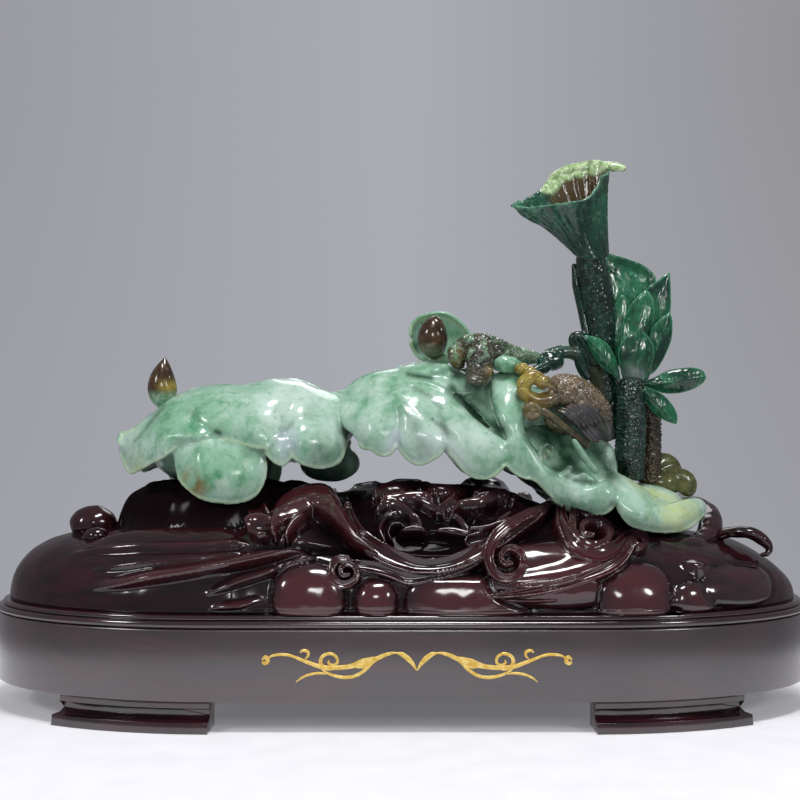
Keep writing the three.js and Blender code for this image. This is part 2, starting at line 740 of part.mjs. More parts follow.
const leftBudShares = [-0.61, -0.05, 0.86];
const darkBudShares = [-0.2, -0.85, -0.16];

function leftBud(grow) {
  return bud(inBox(leafLeft, leftBudShares), budHalfWidth, budHeight, grow);
}

function darkBud(grow) {
  return bud(inBox(leafUpper, darkBudShares), darkBudHalfWidth, darkBudHeight, grow);
}

// A bar through places in a motif's box
function boxBar(box, routeShares, radius, taperShares, facing, grow) {
  return roundBar(routeShares.map((at) => inBox(box, at)), radius, taperShares, facing, { grow });
}

// The upper bird lies on the middle leaf: body and tail, tucked head and folded wing
const upperBodyShares = [[-0.72, 0, -0.05], [-0.1, 0, 0.18], [0.5, 0.12, 0.12], [1.1, 0.25, 0.02]];
const upperBodyTaperShares = [0.7, 1, 0.85, 0.35];
const upperHeadShares = [0.1, -0.32, -0.52];
const upperWingShares = [-0.52, -0.12, -0.24];
const wingSizeShares = [0.9, 0.8, 1];

function upperBird(grow) {
  const half = birdGirth / 2;
  return joined([
    boxBar(upperBirdPlace, upperBodyShares, half, upperBodyTaperShares, up, grow),
    blob(inBox(upperBirdPlace, upperHeadShares), [birdHeadRadius, birdHeadRadius, birdHeadRadius], { grow }),
    blob(inBox(upperBirdPlace, upperWingShares), wingSizeShares.map((share) => share * half), { grow }),
  ]);
}

// The lower bird sits on the right leaf, its neck arched to the left and its wing fanned down to the right
const lowerBodyShares = [[-0.55, -0.05, 0.25], [0, 0, 0.05], [0.5, 0, -0.3], [0.86, 0, -0.62]];
const lowerBodyTaperShares = [0.8, 1, 0.8, 0.35];
const lowerNeckShares = [[-0.3, 0, 0.35], [-0.7, -0.1, 0.42], [-1, -0.18, 0.2], [-0.95, -0.2, -0.15]];
const lowerNeckTaperShares = [0.62, 0.62, 0.56, 0.43];

function lowerBird(grow) {
  return joined([
    boxBar(lowerBirdPlace, lowerBodyShares, birdGirth / 2, lowerBodyTaperShares, up, grow),
    boxBar(lowerBirdPlace, lowerNeckShares, birdHeadRadius, lowerNeckTaperShares, towardsBack, grow),
  ]);
}

// The perch under the lower bird's beak, and the arched twig behind the bird with its round knob
const perchShares = [[-1.02, -0.1, -0.25], [-0.75, -0.1, -0.6], [-0.2, 0, -0.95], [0.4, 0.1, -1.3]];
const perchTaperShares = [1.3, 1, 1, 1];

function perch(grow) {
  return boxBar(lowerBirdPlace, perchShares, twigRadius, perchTaperShares, towardsBack, grow);
}

const twigShares = [[-0.42, 0.62, 0.5], [0, 0.6, 0.6], [0.36, 0.62, 0.2], [0.5, 0.7, -0.5], [0.55, 0.8, -1]];
const twigTaperShares = [0.9, 1, 1, 1, 1.2];
const knobPlaceShares = [-0.48, 0.62, 0.44];

function twig(grow) {
  return joined([
    boxBar(lowerBirdPlace, twigShares, twigRadius, twigTaperShares, towardsBack, grow),
    blob(inBox(lowerBirdPlace, knobPlaceShares), [teaKnobRadius, teaKnobRadius, teaKnobRadius], { grow }),
  ]);
}

// Stalks: routes as shares of the flower's half sizes
const frontStalkShares = [[-0.2, -0.25, -1.6], [-0.22, -0.3, -1], [-0.26, -0.27, -0.37]];
const rightStalkShares = [[0.05, 0.18, -1.6], [0.08, 0.2, -1.1], [0.12, 0.15, -0.55]];
const backStalkShares = [
  [-0.48, 0.27, -1.4], [-0.6, 0.27, -0.5], [-0.68, 0.27, 0.3], [-0.7, 0.27, 0.85], [-0.82, 0.27, 1.2],
];

const frontStalkTaperShares = [1, 1, 0.9];
const rightStalkTaperShares = [1, 1, 0.8];
const backStalkTaperShares = [0.9, 1, 1, 0.8, 0.7];

function stalk(routeShares, radius, taperShares, grow) {
  const route = routeShares.map((at) => inBox(flower, at));
  return roundBar(route, radius, taperShares, towardsBack, { grow, steps: stalkSteps });
}

function frontStalk(grow) {
  return stalk(frontStalkShares, frontStalkRadius, frontStalkTaperShares, grow);
}

function rightStalk(grow) {
  return stalk(rightStalkShares, rightStalkRadius, rightStalkTaperShares, grow);
}

function backStalk(grow) {
  return stalk(backStalkShares, backStalkRadius, backStalkTaperShares, grow);
}

// The flower: petals that stand up from the stalk's top and three that spread
const petalShares = [
  [[-0.1, 0.3, -0.4], [0.0, 0.6, 0.84], 0.40, 0.05],
  [[-0.1, 0.1, -0.4], [0.38, 0.1, 1.0], 0.32, 0.05],
  [[-0.2, 0.2, -0.4], [-0.60, 0.35, 0.8], 0.30, 0.05],
  [[-0.05, -0.3, -0.45], [0.34, -0.6, 0.40], 0.34, 0.12],
  [[-0.25, -0.4, -0.5], [-0.26, -0.8, 0.22], 0.40, 0.14],
  [[-0.3, -0.1, -0.5], [-0.98, -0.4, -0.02], 0.34, 0.12],
  [[-0.2, -0.1, -0.45], [1.0, -0.2, -0.40], 0.30, 0.08],
  [[-0.2, -0.2, -0.5], [0.58, -0.5, -0.86], 0.26, 0.12],
];
const flowerCoreShares = [[-0.16, -0.05, -0.14], [0.30, 0.46, 0.44]];

function lotusFlower(grow) {
  return joined([core(flower, flowerCoreShares, grow), ...lobes(flower, petalShares, grow)]);
}

// The side leaf: one curled petal that leaves the back stalk
const curledLobeShares = [
  [[-0.9, 0, -0.2], [0.95, 0, 0.42], 0.55, 0.3],
  [[-0.8, -0.2, 0.1], [0.3, -0.4, -0.8], 0.6, 0.2],
];

function curledLeaf(grow) {
  return joined(lobes(sideLeaf, curledLobeShares, grow));
}

// The rolled leaf: a trumpet on the back stalk whose back wall stands higher than its front wall.
// Each level holds the height, the middle along the box, and half sizes along and across, as shares.
const trumpetShares = [
  { z: -1, x: 0.46, half: 0.30, deep: 0.36, tilt: 0 },
  { z: -0.6, x: 0.32, half: 0.44, deep: 0.56, tilt: 0.04 },
  { z: -0.1, x: 0.10, half: 0.62, deep: 0.84, tilt: 0.16 },
  { z: 0.28, x: -0.06, half: 0.86, deep: 0.96, tilt: 0.28 },
  { z: 0.52, x: 0.03, half: 0.95, deep: 1, tilt: 0.34 },
];
const trumpetSides = 16;
const trumpetSeatShares = [0.46, 0, -0.94];

// The rolled leaf's box is placed so that its seat lies on the back stalk's top
const [stalkTopX, stalkTopY, stalkTopZ] = inBox(flower, backStalkShares.at(-1));
rolled.out = stalkTopX - (trumpetSeatShares[0] * rolled.length) / 2 + stalkTopShift;
rolled.back = stalkTopY - (trumpetSeatShares[1] * rolled.depth) / 2;
rolled.rise = stalkTopZ - crestTop - (trumpetSeatShares[2] * rolled.height) / 2;

function trumpetRing({ z, x, half, deep, tilt }, setback, drop = 0) {
  const [cx, cy, middleZ] = inBox(rolled, [x, 0, z]);
  const cz = middleZ - drop;
  const ring = [];
  for (let i = 0; i < trumpetSides; i += 1) {
    const angle = (2 * Math.PI * i) / trumpetSides;
    const across = Math.cos(angle);
    const away = Math.sin(angle);
    const lift = (tilt * rolled.height * (across + away)) / 2;
    ring.push(new THREE.Vector3(
      cx + across * ((half * rolled.length) / 2 - setback),
      cy + away * ((deep * rolled.depth) / 2 - setback),
      cz + lift,
    ));
  }
  return ring;
}

function rolledLeaf(grow) {
  const outer = trumpetShares.map((level, i) => trumpetRing(level, -grow, i === 0 ? grow : 0));
  const inner = trumpetShares.slice(1).reverse().map((level) => trumpetRing(level, rolled.wall + grow));
  return loft([...outer, ...inner]);
}

// Half of the gold scroll, as shares of its half length and its height, from the middle outwards
const vineShares = [[0, -0.1], [0.1, 0.75], [0.27, 0.3], [0.42, -0.45], [0.55, -0.35], [0.68, 0.3],
  [0.82, 0.85], [0.96, 0.45]];
const leafStrokeShares = [[0.18, 0.62], [0.28, 0.1], [0.42, 0.25]];
const tailShares = [[0.56, -0.4], [0.68, -0.5], [0.78, -0.95]];
const curlStrokeShares = [[0.66, 0.2], [0.72, 0.62], [0.78, 0.95]];
const vineWidthShares = [0.7, 1.4, 1, 1, 1.2, 1, 1, 1.6];
const leafWidthShares = [0.3, 1, 0.2];
const tailWidthShares = [1, 1, 0.4];
const curlWidthShares = [0.8, 1, 0.5];

// A flat stroke that lies on the front of the plinth
function stroke(side, routeShares, width, widthShares) {
  const middleZ = footHeight + bandHeight / 2;
  const flat = routeShares.map(([x, z]) => new THREE.Vector3(
    inlayOffset + (side * x * inlayLength) / 2, 0, middleZ + (z * inlayHeight) / 2));
  const route = new THREE.CatmullRomCurve3(flat);
  const steps = (routeShares.length - 1) * strokeSteps;
  const rings = [];
  for (let step = 0; step <= steps; step += 1) {
    const s = step / steps;
    const at = s * (widthShares.length - 1);
    const low = Math.min(Math.floor(at), widthShares.length - 2);
    const half = (width / 2) * THREE.MathUtils.lerp(widthShares[low], widthShares[low + 1], at - low);
    const along = route.getTangent(s);
    const across = new THREE.Vector3(along.z, 0, -along.x).multiplyScalar(half);
    const point = route.getPoint(s);
    const edge = (sign, y) => point.clone().addScaledVector(across, sign).setY(y);
    const face = -frontReach - inlayThickness;
    rings.push([edge(1, -frontReach), edge(-1, -frontReach), edge(-1, face), edge(1, face)]);
  }
  return loft(rings);
}

function scrollInlay(side) {
  const strokes = [
    stroke(side, vineShares, inlayStroke, vineWidthShares),
    stroke(side, leafStrokeShares, inlayLeafWidth, leafWidthShares),
    stroke(side, tailShares, inlayStroke, tailWidthShares),
    stroke(side, curlStrokeShares, inlayStroke, curlWidthShares),
  ];
  const half = block(
    side > 0 ? [inlayOffset + pieceGap / 2, -plinthDepth, 0] : [-plinthLength, -plinthDepth, 0],
    side > 0 ? [plinthLength, plinthDepth, crestTop] : [inlayOffset - pieceGap / 2, plinthDepth, crestTop],
  );
  return mainBody(joined(strokes).intersect(half));
}

const object = new THREE.Group();

// Adds one solid to the object as a named mesh with its own finish
function addPiece(name, solid, finish) {
  const mesh = solid.getMesh();
  const geometry = new THREE.BufferGeometry();
  const stride = mesh.numProp;
  const positions = [];
  for (let i = 0; i < mesh.vertProperties.length; i += stride) {
    positions.push(mesh.vertProperties[i], mesh.vertProperties[i + 1], mesh.vertProperties[i + 2]);
  }
  geometry.setAttribute('position', new THREE.Float32BufferAttribute(positions, 3));
  geometry.setIndex(Array.from(mesh.triVerts));
  geometry.computeVertexNormals();
  const piece = new THREE.Mesh(geometry, new THREE.MeshStandardMaterial(finish));
  piece.name = name;
  object.add(piece);
}

// The jade, in the order in which the motifs keep their full shape: a later one is cut by those before it
const jadeMotifs = [
  ['bud_left', leftBud, brownJade],
  ['bud_dark', darkBud, darkJade],
  ['bird_upper', upperBird, brownJade],
  ['bird_lower', lowerBird, brownJade],
  ['perch', perch, brownJade],
  ['twig', twig, darkJade],
  ['rolled_leaf', rolledLeaf, greenJade],
  ['lotus_flower', lotusFlower, greenJade],
  ['side_leaf', curledLeaf, greenJade],
  ['stalk_front', frontStalk, darkJade],
  ['stalk_right', rightStalk, brownJade],
  ['stalk_back', backStalk, darkJade],
  ['leaf_olive', oliveLeaf, brownJade],
  ['leaf_upper', upperLeaf, paleJade],
  ['leaf_middle', middleLeaf, paleJade],
  ['leaf_left', leftLeaf, paleJade],
  ['leaf_right', rightLeaf, paleJade],
];

const jadeCutters = [];
for (const [name, build, finish] of jadeMotifs) {
  addPiece(name, cutBy(build(0), jadeCutters), finish);
  jadeCutters.push(build(pieceGap));
}

// Screws, and the bores that they need
const corners = [[-1, -1], [1, -1], [-1, 1], [1, 1]];
const cornerNames = ['front_left', 'front_right', 'back_left', 'back_right'];
const footScrews = corners.flatMap(([sideX, sideY]) => [-1, 1].map((end) => (
  footScrewPlace(sideX, sideY, (end * footScrewSpacing) / 2))));
const standScrews = corners.map(([sideX, sideY]) => [
  (sideX * standScrewAcross) / 2, (sideY * standScrewDepthSpan) / 2]);
footScrews.forEach((place, i) => {
  addPiece(`foot_screw_${i + 1}`, screw(place, footScrewRecess, footScrewLength), steel);
});
standScrews.forEach((place, i) => {
  addPiece(`stand_screw_${i + 1}`, screw(place, bandTop, standScrewLength), steel);
});
const footScrewCutters = footScrews.flatMap((place) => [
  screw(place, footScrewRecess, footScrewLength, pieceGap),
  screwBore(place, footScrewRecess, footScrewRecess * 2),
]);
const standScrewCutters = standScrews.flatMap((place) => [
  screw(place, bandTop, standScrewLength, pieceGap),
  screwBore(place, bandTop, screwHeadDepth),
]);

// Stand and plinth
addPiece('stand_carving', cutBy(standCarving(), [...jadeCutters, ...standScrewCutters]), rosewood);
addPiece('plinth_top_board', cutBy(topBoard(), standScrewCutters), rosewood);
addPiece('front_rail', rail(-1), rosewood);
addPiece('back_rail', rail(1), rosewood);
addPiece('left_end_block', cutBy(endBlock(-1), footScrewCutters), rosewood);
addPiece('right_end_block', cutBy(endBlock(1), footScrewCutters), rosewood);
addPiece('bottom_board', bottomBoard(), rosewood);
corners.forEach(([sideX, sideY], i) => {
  addPiece(`foot_${cornerNames[i]}`, cutBy(foot(sideX, sideY), footScrewCutters), rosewood);
});
addPiece('scroll_inlay_left', scrollInlay(-1), gilt);
addPiece('scroll_inlay_right', scrollInlay(1), gilt);

export default object;
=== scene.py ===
"""Dresses a jade carving of lotus leaves, a flower and two birds, and its stand on an oval plinth."""

import json
import math
from functools import cache

import bpy
import numpy as np
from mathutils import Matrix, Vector, noise
from mathutils.bvhtree import BVHTree

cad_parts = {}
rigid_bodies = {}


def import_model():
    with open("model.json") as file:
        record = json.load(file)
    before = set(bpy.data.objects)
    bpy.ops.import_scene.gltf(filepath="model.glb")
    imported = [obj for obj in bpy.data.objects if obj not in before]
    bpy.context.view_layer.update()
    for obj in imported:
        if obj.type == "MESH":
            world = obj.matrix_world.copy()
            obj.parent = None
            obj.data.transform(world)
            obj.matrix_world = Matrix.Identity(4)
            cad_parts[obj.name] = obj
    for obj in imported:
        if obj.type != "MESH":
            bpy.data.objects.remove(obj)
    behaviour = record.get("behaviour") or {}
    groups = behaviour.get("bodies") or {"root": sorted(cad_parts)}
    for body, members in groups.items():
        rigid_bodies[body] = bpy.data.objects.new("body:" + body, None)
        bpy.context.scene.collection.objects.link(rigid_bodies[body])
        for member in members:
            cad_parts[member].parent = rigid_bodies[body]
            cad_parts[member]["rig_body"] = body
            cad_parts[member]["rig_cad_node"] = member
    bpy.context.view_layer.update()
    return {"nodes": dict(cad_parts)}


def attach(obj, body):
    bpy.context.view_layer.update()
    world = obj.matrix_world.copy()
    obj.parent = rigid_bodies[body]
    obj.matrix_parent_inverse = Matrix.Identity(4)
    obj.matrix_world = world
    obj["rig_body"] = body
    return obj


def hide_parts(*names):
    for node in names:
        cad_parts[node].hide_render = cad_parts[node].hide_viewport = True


bl_info = {
    "name": "Jade flower and bird carving",
    "version": (1, 0, 0),
    "blender": (4, 5, 0),
    "location": "View3D > Sidebar > Jade carving",
    "description": "Models and finishes the jade, the carved mound, the plinth and the stage",
    "category": "Object",
}

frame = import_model()

MM = 0.001
# The photographed view: its width and focal length in pixels, the camera's distance, height and shift in
# millimetres, its tilt in degrees, the pixel that it faces, and the width of its sensor
PHOTO_WIDTH = 800
FOCAL = 1350.0
DISTANCE = 951.0
EYE_HEIGHT = 184.4
EYE_SHIFT = -1.4
EYE_TILT = 91.36
EYE_X, EYE_Y = 402.0, 432.0
SENSOR = 36

# Sizes of the stand in millimetres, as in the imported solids
STRAIGHT_HALF = 114.0
END_REACH = 166.0
HALF_DEPTH = 119.0
BAND_LOW, BAND_TOP, DECK = 18.0, 63.0, 71.0
MOUND_HALF, MOUND_DEPTH, CREST = 272.0, 109.0, 78.0
# The mound's crest: place along its half length and share of its height
CREST_SHARES = ((-1, 0.72), (-0.74, 0.64), (-0.44, 0.64), (-0.22, 0.88), (0, 1), (0.22, 0.96), (0.40, 0.78),
    (0.62, 0.60), (0.85, 0.60), (1, 0.46))
# Points in a span of a smooth route, how lobes' rings crowd at the rim, and depth behind the middle plane
SPAN_STEPS = 10
LOBE_SPACING = 1.7
BACK_SHARE = 0.97


# Places and curves

def spot(px, py, depth):
    """Place in millimetres of a pixel of the photographed view at a depth behind the middle plane."""
    px, py, depth = np.broadcast_arrays(np.asarray(px, float), py, depth)
    k = (DISTANCE + depth) / FOCAL
    return np.stack([(px - EYE_X) * k, depth, EYE_HEIGHT - (py - EYE_Y) * k], -1)


def pixel(points):
    """Pixels at which places in front of the middle plane are seen; those behind it as if mirrored."""
    k = (DISTANCE - np.abs(points[:, 1])) / FOCAL
    return points[:, 0] / k + EYE_X, EYE_Y - (points[:, 2] - EYE_HEIGHT) / k


def smooth_route(points, count, closed=False):
    """Evenly spaced points on a smooth curve through the given ones."""
    p = np.asarray(points, float)
    if closed:
        p = np.vstack([p[-1], p, p[0], p[1]])
    else:
        p = np.vstack([2 * p[0] - p[1], p, 2 * p[-1] - p[-2]])
    t = np.linspace(0, 1, SPAN_STEPS, endpoint=False)[:, None]
    parts = []
    for a, b, c, d in zip(p, p[1:], p[2:], p[3:]):
        square, cube = 2 * a - 5 * b + 4 * c - d, 3 * b - a - 3 * c + d
        parts.append(0.5 * (2 * b + (c - a) * t + square * t**2 + cube * t**3))
    parts.append(p[-2][None])
    fine = np.vstack(parts)
    length = np.r_[0, np.cumsum(np.linalg.norm(np.diff(fine, axis=0), axis=1))]
    at = np.linspace(0, length[-1], count + 1 if closed else count)[:count]
    return np.stack([np.interp(at, length, fine[:, k]) for k in range(fine.shape[1])], 1)


def shares(values):
    """A profile along a piece from evenly spaced values."""
    values = np.asarray(values, float)
    return lambda s: np.interp(s, np.linspace(0, 1, len(values)), values)


def petal(width, lean=1.35, fullness=2.6):
    """Half width of a petal along its length."""
    return lambda s: width * np.sqrt(np.maximum(0, 1 - np.abs(2 * s**lean - 1) ** fullness))


def unit(v):
    """Vectors brought to a length of one."""
    return v / np.maximum(np.linalg.norm(v, axis=-1, keepdims=True), 1e-9)


def step(low, high, x):
    """A soft step from 0 to 1 between two limits, which may also fall."""
    t = np.clip((x - low) / (high - low), 0, 1)
    return t * t * (3 - 2 * t)


def oval(px, py, x, y, rx, ry):
    """Distance from a middle, 1 on the oval round it."""
    return np.hypot((px - x) / rx, (py - y) / ry)


def dab(px, py, x, y, rx, ry):
    """A soft oval mark."""
    return np.exp(-(((px - x) / rx) ** 2 + ((py - y) / ry) ** 2))


# Shells: a pair of points in millimetres and faces

def capped(grid, first, last):
    """Closed shell from rings of points and a pole at each end."""
    rings, sides = grid.shape[:2]
    ring = np.arange(rings - 1)[:, None] * sides
    i = np.arange(sides)[None, :]
    j = (i + 1) % sides
    quads = np.stack([ring + i, ring + j, ring + j + sides, ring + i + sides], -1)
    faces = quads.reshape(-1, 4).tolist()
    a, b, base = rings * sides, rings * sides + 1, (rings - 1) * sides
    for i in range(sides):
        j = (i + 1) % sides
        faces.append([a, j, i])
        faces.append([b, base + i, base + j])
    return outward((np.vstack([grid.reshape(-1, 3), first, last]), faces))


def outward(shell):
    """Turns a closed shell's faces outwards."""
    points, faces = shell
    tri = np.array([f[:3] for f in faces] + [[f[0], f[2], f[3]] for f in faces if len(f) == 4])
    p = points - points.mean(0)
    volume = np.einsum("ij,ij->i", p[tri[:, 0]], np.cross(p[tri[:, 1]], p[tri[:, 2]])).sum()
    return (points, faces) if volume > 0 else (points, [f[::-1] for f in faces])


def sweep(route, half, thick, facing=(0, -1, 0), cup=0.0, midrib=0.0, steps=40, sides=24):
    """A bar or petal along a route: half width, half thickness, inward cup and a midrib on its face."""
    curve = smooth_route(route, steps + 1)
    s = np.linspace(0, 1, steps + 1)
    tangent = unit(np.gradient(curve, axis=0))
    side = unit(np.cross(np.broadcast_to(np.asarray(facing, float), tangent.shape), tangent))
    out = np.cross(tangent, side)
    angle = 2 * np.pi * np.arange(sides) / sides
    c, n = np.cos(angle)[None], np.sin(angle)[None]
    h, t = half(s)[:, None], thick(s)[:, None]
    lift = t * n - cup * h * c**2 + np.where(n > 0, midrib * np.exp(-((c / 0.09) ** 2)), 0)
    ring = curve[:, None] + side[:, None] * (h * c)[..., None] + out[:, None] * lift[..., None]
    return capped(ring[1:-1], curve[0], curve[-1])


def bar(route, half, thick=None, steps=40, sides=24, **more):
    """A bar along pixels with depths, with half widths and half thicknesses in millimetres."""
    thick = half if thick is None else thick
    return sweep([spot(*p) for p in route], shares(half), shares(thick), steps=steps, sides=sides, **more)


def blob(centre, halves, columns=36, rows=20, turn=0.0, lump=None):
    """An ellipsoid with a pole at its top and foot; lump changes its radius by direction."""
    theta = np.pi * np.arange(1, rows) / rows
    phi = 2 * np.pi * np.arange(columns) / columns
    t, f = np.meshgrid(theta, phi, indexing="ij")
    ball = np.stack([np.sin(t) * np.cos(f), np.sin(t) * np.sin(f), np.cos(t)], -1).reshape(-1, 3)
    if lump:
        ball = ball * lump(ball)[:, None]
    c, s = math.cos(turn), math.sin(turn)
    rotation = np.array([[c, 0, s], [0, 1, 0], [-s, 0, c]])
    place = lambda p: (p * np.asarray(halves, float)) @ rotation.T + np.asarray(centre, float)
    poles = np.array([[0, 0, 1.0], [0, 0, -1.0]])
    return capped(place(ball).reshape(rows - 1, columns, 3), place(poles[:1]), place(poles[1:]))


def lumps(table):
    """Ellipsoids from rows of a pixel with its depth, half sizes in millimetres and a turn."""
    return [blob(spot(*place), halves, turn=turn) for place, halves, turn in table]


def pillow(outline, centre, depth, proud, dome, body=9.0, count=84, rings=12, edge=2.4):
    """A closed lobe with its outline in pixels. The depth of the canopy under it comes from a function."""
    rim = smooth_route(outline, count, closed=True)
    middle = np.asarray(centre, float)
    r = 1 - (1 - np.linspace(0, 1, rings + 1)[1:]) ** LOBE_SPACING
    p = middle + (rim - middle) * r[:, None, None]
    ground = depth(p[..., 0], p[..., 1])
    rounding = edge * (1 - np.sqrt(np.maximum(0, 1 - (r[:, None] ** 6) ** 2)))
    front = ground - proud - dome * (1 - r[:, None] ** 2) + rounding
    back = ground[::-1] + body * np.minimum(1, (1 - r[::-1, None]) * 6)
    back[0] = front[-1] + 0.6 * edge
    grid = np.concatenate([spot(p[..., 0], p[..., 1], front), spot(p[::-1, :, 0], p[::-1, :, 1], back)])
    tip = depth(*middle)
    return capped(grid, spot(*middle, tip - proud - dome)[None], spot(*middle, tip + body)[None])


def mirrored(shell):
    """The same shell behind the middle plane, a little flatter."""
    return outward((shell[0] * (1, -BACK_SHARE, 1), shell[1]))


def merged(shells):
    points, faces, base = [], [], 0
    for p, f in shells:
        points.append(p)
        faces += [[i + base for i in face] for face in f]
        base += len(p)
    return np.vstack(points), faces


# Blender pieces

def only(piece):
    """Selects one piece and makes it active."""
    bpy.ops.object.select_all(action="DESELECT")
    piece.select_set(True)
    bpy.context.view_layer.objects.active = piece


def modified(piece, kind, **settings):
    """Adds a modifier with its settings and applies it."""
    only(piece)
    bpy.ops.object.modifier_add(type=kind)
    modifier = piece.modifiers[-1]
    for key, value in settings.items():
        setattr(modifier, key, value)
    bpy.ops.object.modifier_apply(modifier=modifier.name)


def piece_from(name, shell):
    points, faces = shell
    mesh = bpy.data.meshes.new(name)
    mesh.from_pydata((points * MM).tolist(), [], faces)
    mesh.update()
    piece = bpy.data.objects.new(name, mesh)
    bpy.context.scene.collection.objects.link(piece)
    return piece


def fused(name, shells, voxel, smooth):
    """One skin round several shells."""
    piece = piece_from(name, merged(shells))
    modified(piece, "REMESH", mode="VOXEL", voxel_size=voxel * MM, adaptivity=0)
    modified(piece, "SMOOTH", factor=0.5, iterations=smooth)
    return piece


def points_of(piece):
    """A piece's points in millimetres."""
    flat = np.empty(len(piece.data.vertices) * 3)
    piece.data.vertices.foreach_get("co", flat)
    return flat.reshape(-1, 3) / MM


def normals_of(piece):
    """The outward direction at each of a piece's points."""
    flat = np.empty(len(piece.data.vertices) * 3, np.float32)
    piece.data.vertex_normals.foreach_get("vector", flat)
    return flat.reshape(-1, 3).astype(float)


def move_points(piece, points):
    """Sets a piece's points, in millimetres."""
    piece.data.vertices.foreach_set("co", (points * MM).ravel())
    piece.data.update()


def raise_points(piece, lift):
    """Moves each point outwards by its own lift in millimetres."""
    move_points(piece, points_of(piece) + normals_of(piece) * lift[:, None])


def paint(piece, name, values):
    """Stores one number for each point, which the finish reads."""
    attribute = piece.data.attributes.new(name, "FLOAT", "POINT")
    attribute.data.foreach_set("value", np.clip(values, 0, 1).astype(np.float32))


def seeded(seed):
    """A shift that gives each seed its own noise."""
    return Vector((seed * 7.3, seed * 3.1, seed * 5.7))


def waves(points, size, seed):
    """Smooth noise between -1 and 1 at each place."""
    return np.array([noise.noise(Vector(p) / size + seeded(seed)) for p in points])


def grains(points, size, seed):
    """Rounded grains: 1 at the middle of a grain and 0 between grains."""
    near = np.array([noise.voronoi(Vector(p) / size + seeded(seed))[0][:2] for p in points])
    return np.clip((near[:, 1] - near[:, 0]) * 1.6, 0, 1)


def settle(piece, body, slot, finish, *nodes, smooth=None):
    """Gives a piece its body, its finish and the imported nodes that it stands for."""
    only(piece)
    if smooth is None:
        bpy.ops.object.shade_smooth()
    else:
        bpy.ops.object.shade_smooth_by_angle(angle=math.radians(smooth))
    piece.data.materials.clear()
    piece.data.materials.append(finish)
    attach(piece, body)
    if nodes:
        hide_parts(*nodes)


def line_distance(px, py, line):
    """Distance to a line of pixels, positive below or to the right of it, and the share along it."""
    line = np.asarray(line, float)
    best = np.full(px.shape, 1e9)
    share = np.zeros(px.shape)
    sign = np.ones(px.shape)
    for i, (a, b) in enumerate(zip(line, line[1:])):
        d = b - a
        t = np.clip(((px - a[0]) * d[0] + (py - a[1]) * d[1]) / (d @ d), 0, 1)
        dx, dy = px - a[0] - t * d[0], py - a[1] - t * d[1]
        far = np.hypot(dx, dy)
        closer = far < best
        best = np.where(closer, far, best)
        share = np.where(closer, (i + t) / (len(line) - 1), share)
        sign = np.where(closer, np.sign(d[0] * dy - d[1] * dx), sign)
    return best * sign, share


def stroke(px, py, line, width):
    """A soft stroke along a line of pixels."""
    return np.exp(-((line_distance(px, py, line)[0] / width) ** 2))


# Finishes

class Tone:
    """A shader socket that takes part in sums and products."""

    def __init__(self, shader, socket):
        self.shader, self.socket = shader, socket

    def math(self, operation, first, second):
        return self.shader.node("ShaderNodeMath", {"operation": operation}, {0: first, 1: second})

    def __add__(self, other):
        return self.math("ADD", self, other)

    def __sub__(self, other):
        return self.math("SUBTRACT", self, other)

    def __rsub__(self, other):
        return self.math("SUBTRACT", other, self)

    def __mul__(self, other):
        return self.math("MULTIPLY", self, other)

    __radd__ = __add__
    __rmul__ = __mul__


class Shader:
    """One material and the nodes that feed it."""

    def __init__(self, name, **constants):
        self.material = bpy.data.materials.new(name)
        self.material.use_nodes = True
        self.tree = self.material.node_tree
        self.surface = self.tree.nodes["Principled BSDF"]
        for key, value in constants.items():
            self.surface.inputs[key.replace("_", " ")].default_value = value

    def node(self, kind, settings=None, inputs=None, out=0):
        node = self.tree.nodes.new(kind)
        for key, value in (settings or {}).items():
            setattr(node, key, value)
        for key, value in (inputs or {}).items():
            if isinstance(value, Tone):
                self.tree.links.new(value.socket, node.inputs[key])
            elif value is not None:
                node.inputs[key].default_value = value
        return Tone(self, node.outputs[out])

    def place(self, stretch=(1, 1, 1), turn=(0, 0, 0), shift=(0, 0, 0)):
        where = self.node("ShaderNodeTexCoord", out="Object")
        return self.node("ShaderNodeMapping", None,
                         {"Vector": where, "Scale": stretch, "Rotation": turn, "Location": shift})

    def cloud(self, scale, detail=4.0, rough=0.5, warp=0.0, **mapping):
        return self.node("ShaderNodeTexNoise", None, {
            "Vector": self.place(**mapping), "Scale": scale, "Detail": detail, "Roughness": rough,
            "Distortion": warp})

    def rise(self, value, low, high):
        return self.node("ShaderNodeMapRange", {"interpolation_type": "SMOOTHSTEP"},
                         {"Value": value, "From Min": low, "From Max": high})

    def mix(self, factor, first, second):
        full = [c if isinstance(c, Tone) else (*c, 1.0) for c in (first, second)]
        return self.node("ShaderNodeMix", {"data_type": "RGBA"}, {0: factor, 6: full[0], 7: full[1]}, out=2)

    def layered(self, colour, *layers):
        """A colour under layers, each with its factor and its tint."""
        for factor, tint in layers:
            colour = self.mix(factor, colour, tint)
        return colour

    def painted(self, name):
        return self.node("ShaderNodeAttribute", {"attribute_name": name}, out="Fac")

    def near(self, x, y, z, radius, soft=1.0):
        """1 around a place in millimetres and 0 past the radius."""
        where = self.node("ShaderNodeTexCoord", out="Object")
        away = self.node("ShaderNodeVectorMath", {"operation": "DISTANCE"},
                         {0: where, 1: (x * MM, y * MM, z * MM)}, out="Value")
        return 1 - self.rise(away, radius * MM * (1 - soft * 0.7), radius * MM)
    def patches(self, rows):
        """Round patches together: place and radius in millimetres, and weight."""
        return sum(self.near(*row[:4]) * row[4] for row in rows)
    def bump(self, height, strength, distance):
        return self.node("ShaderNodeBump", None,
                         {"Height": height, "Strength": strength, "Distance": distance * MM})

    def wire(self, **sockets):
        for key, value in sockets.items():
            self.tree.links.new(value.socket, self.surface.inputs[key.replace("_", " ")])
        return self.material


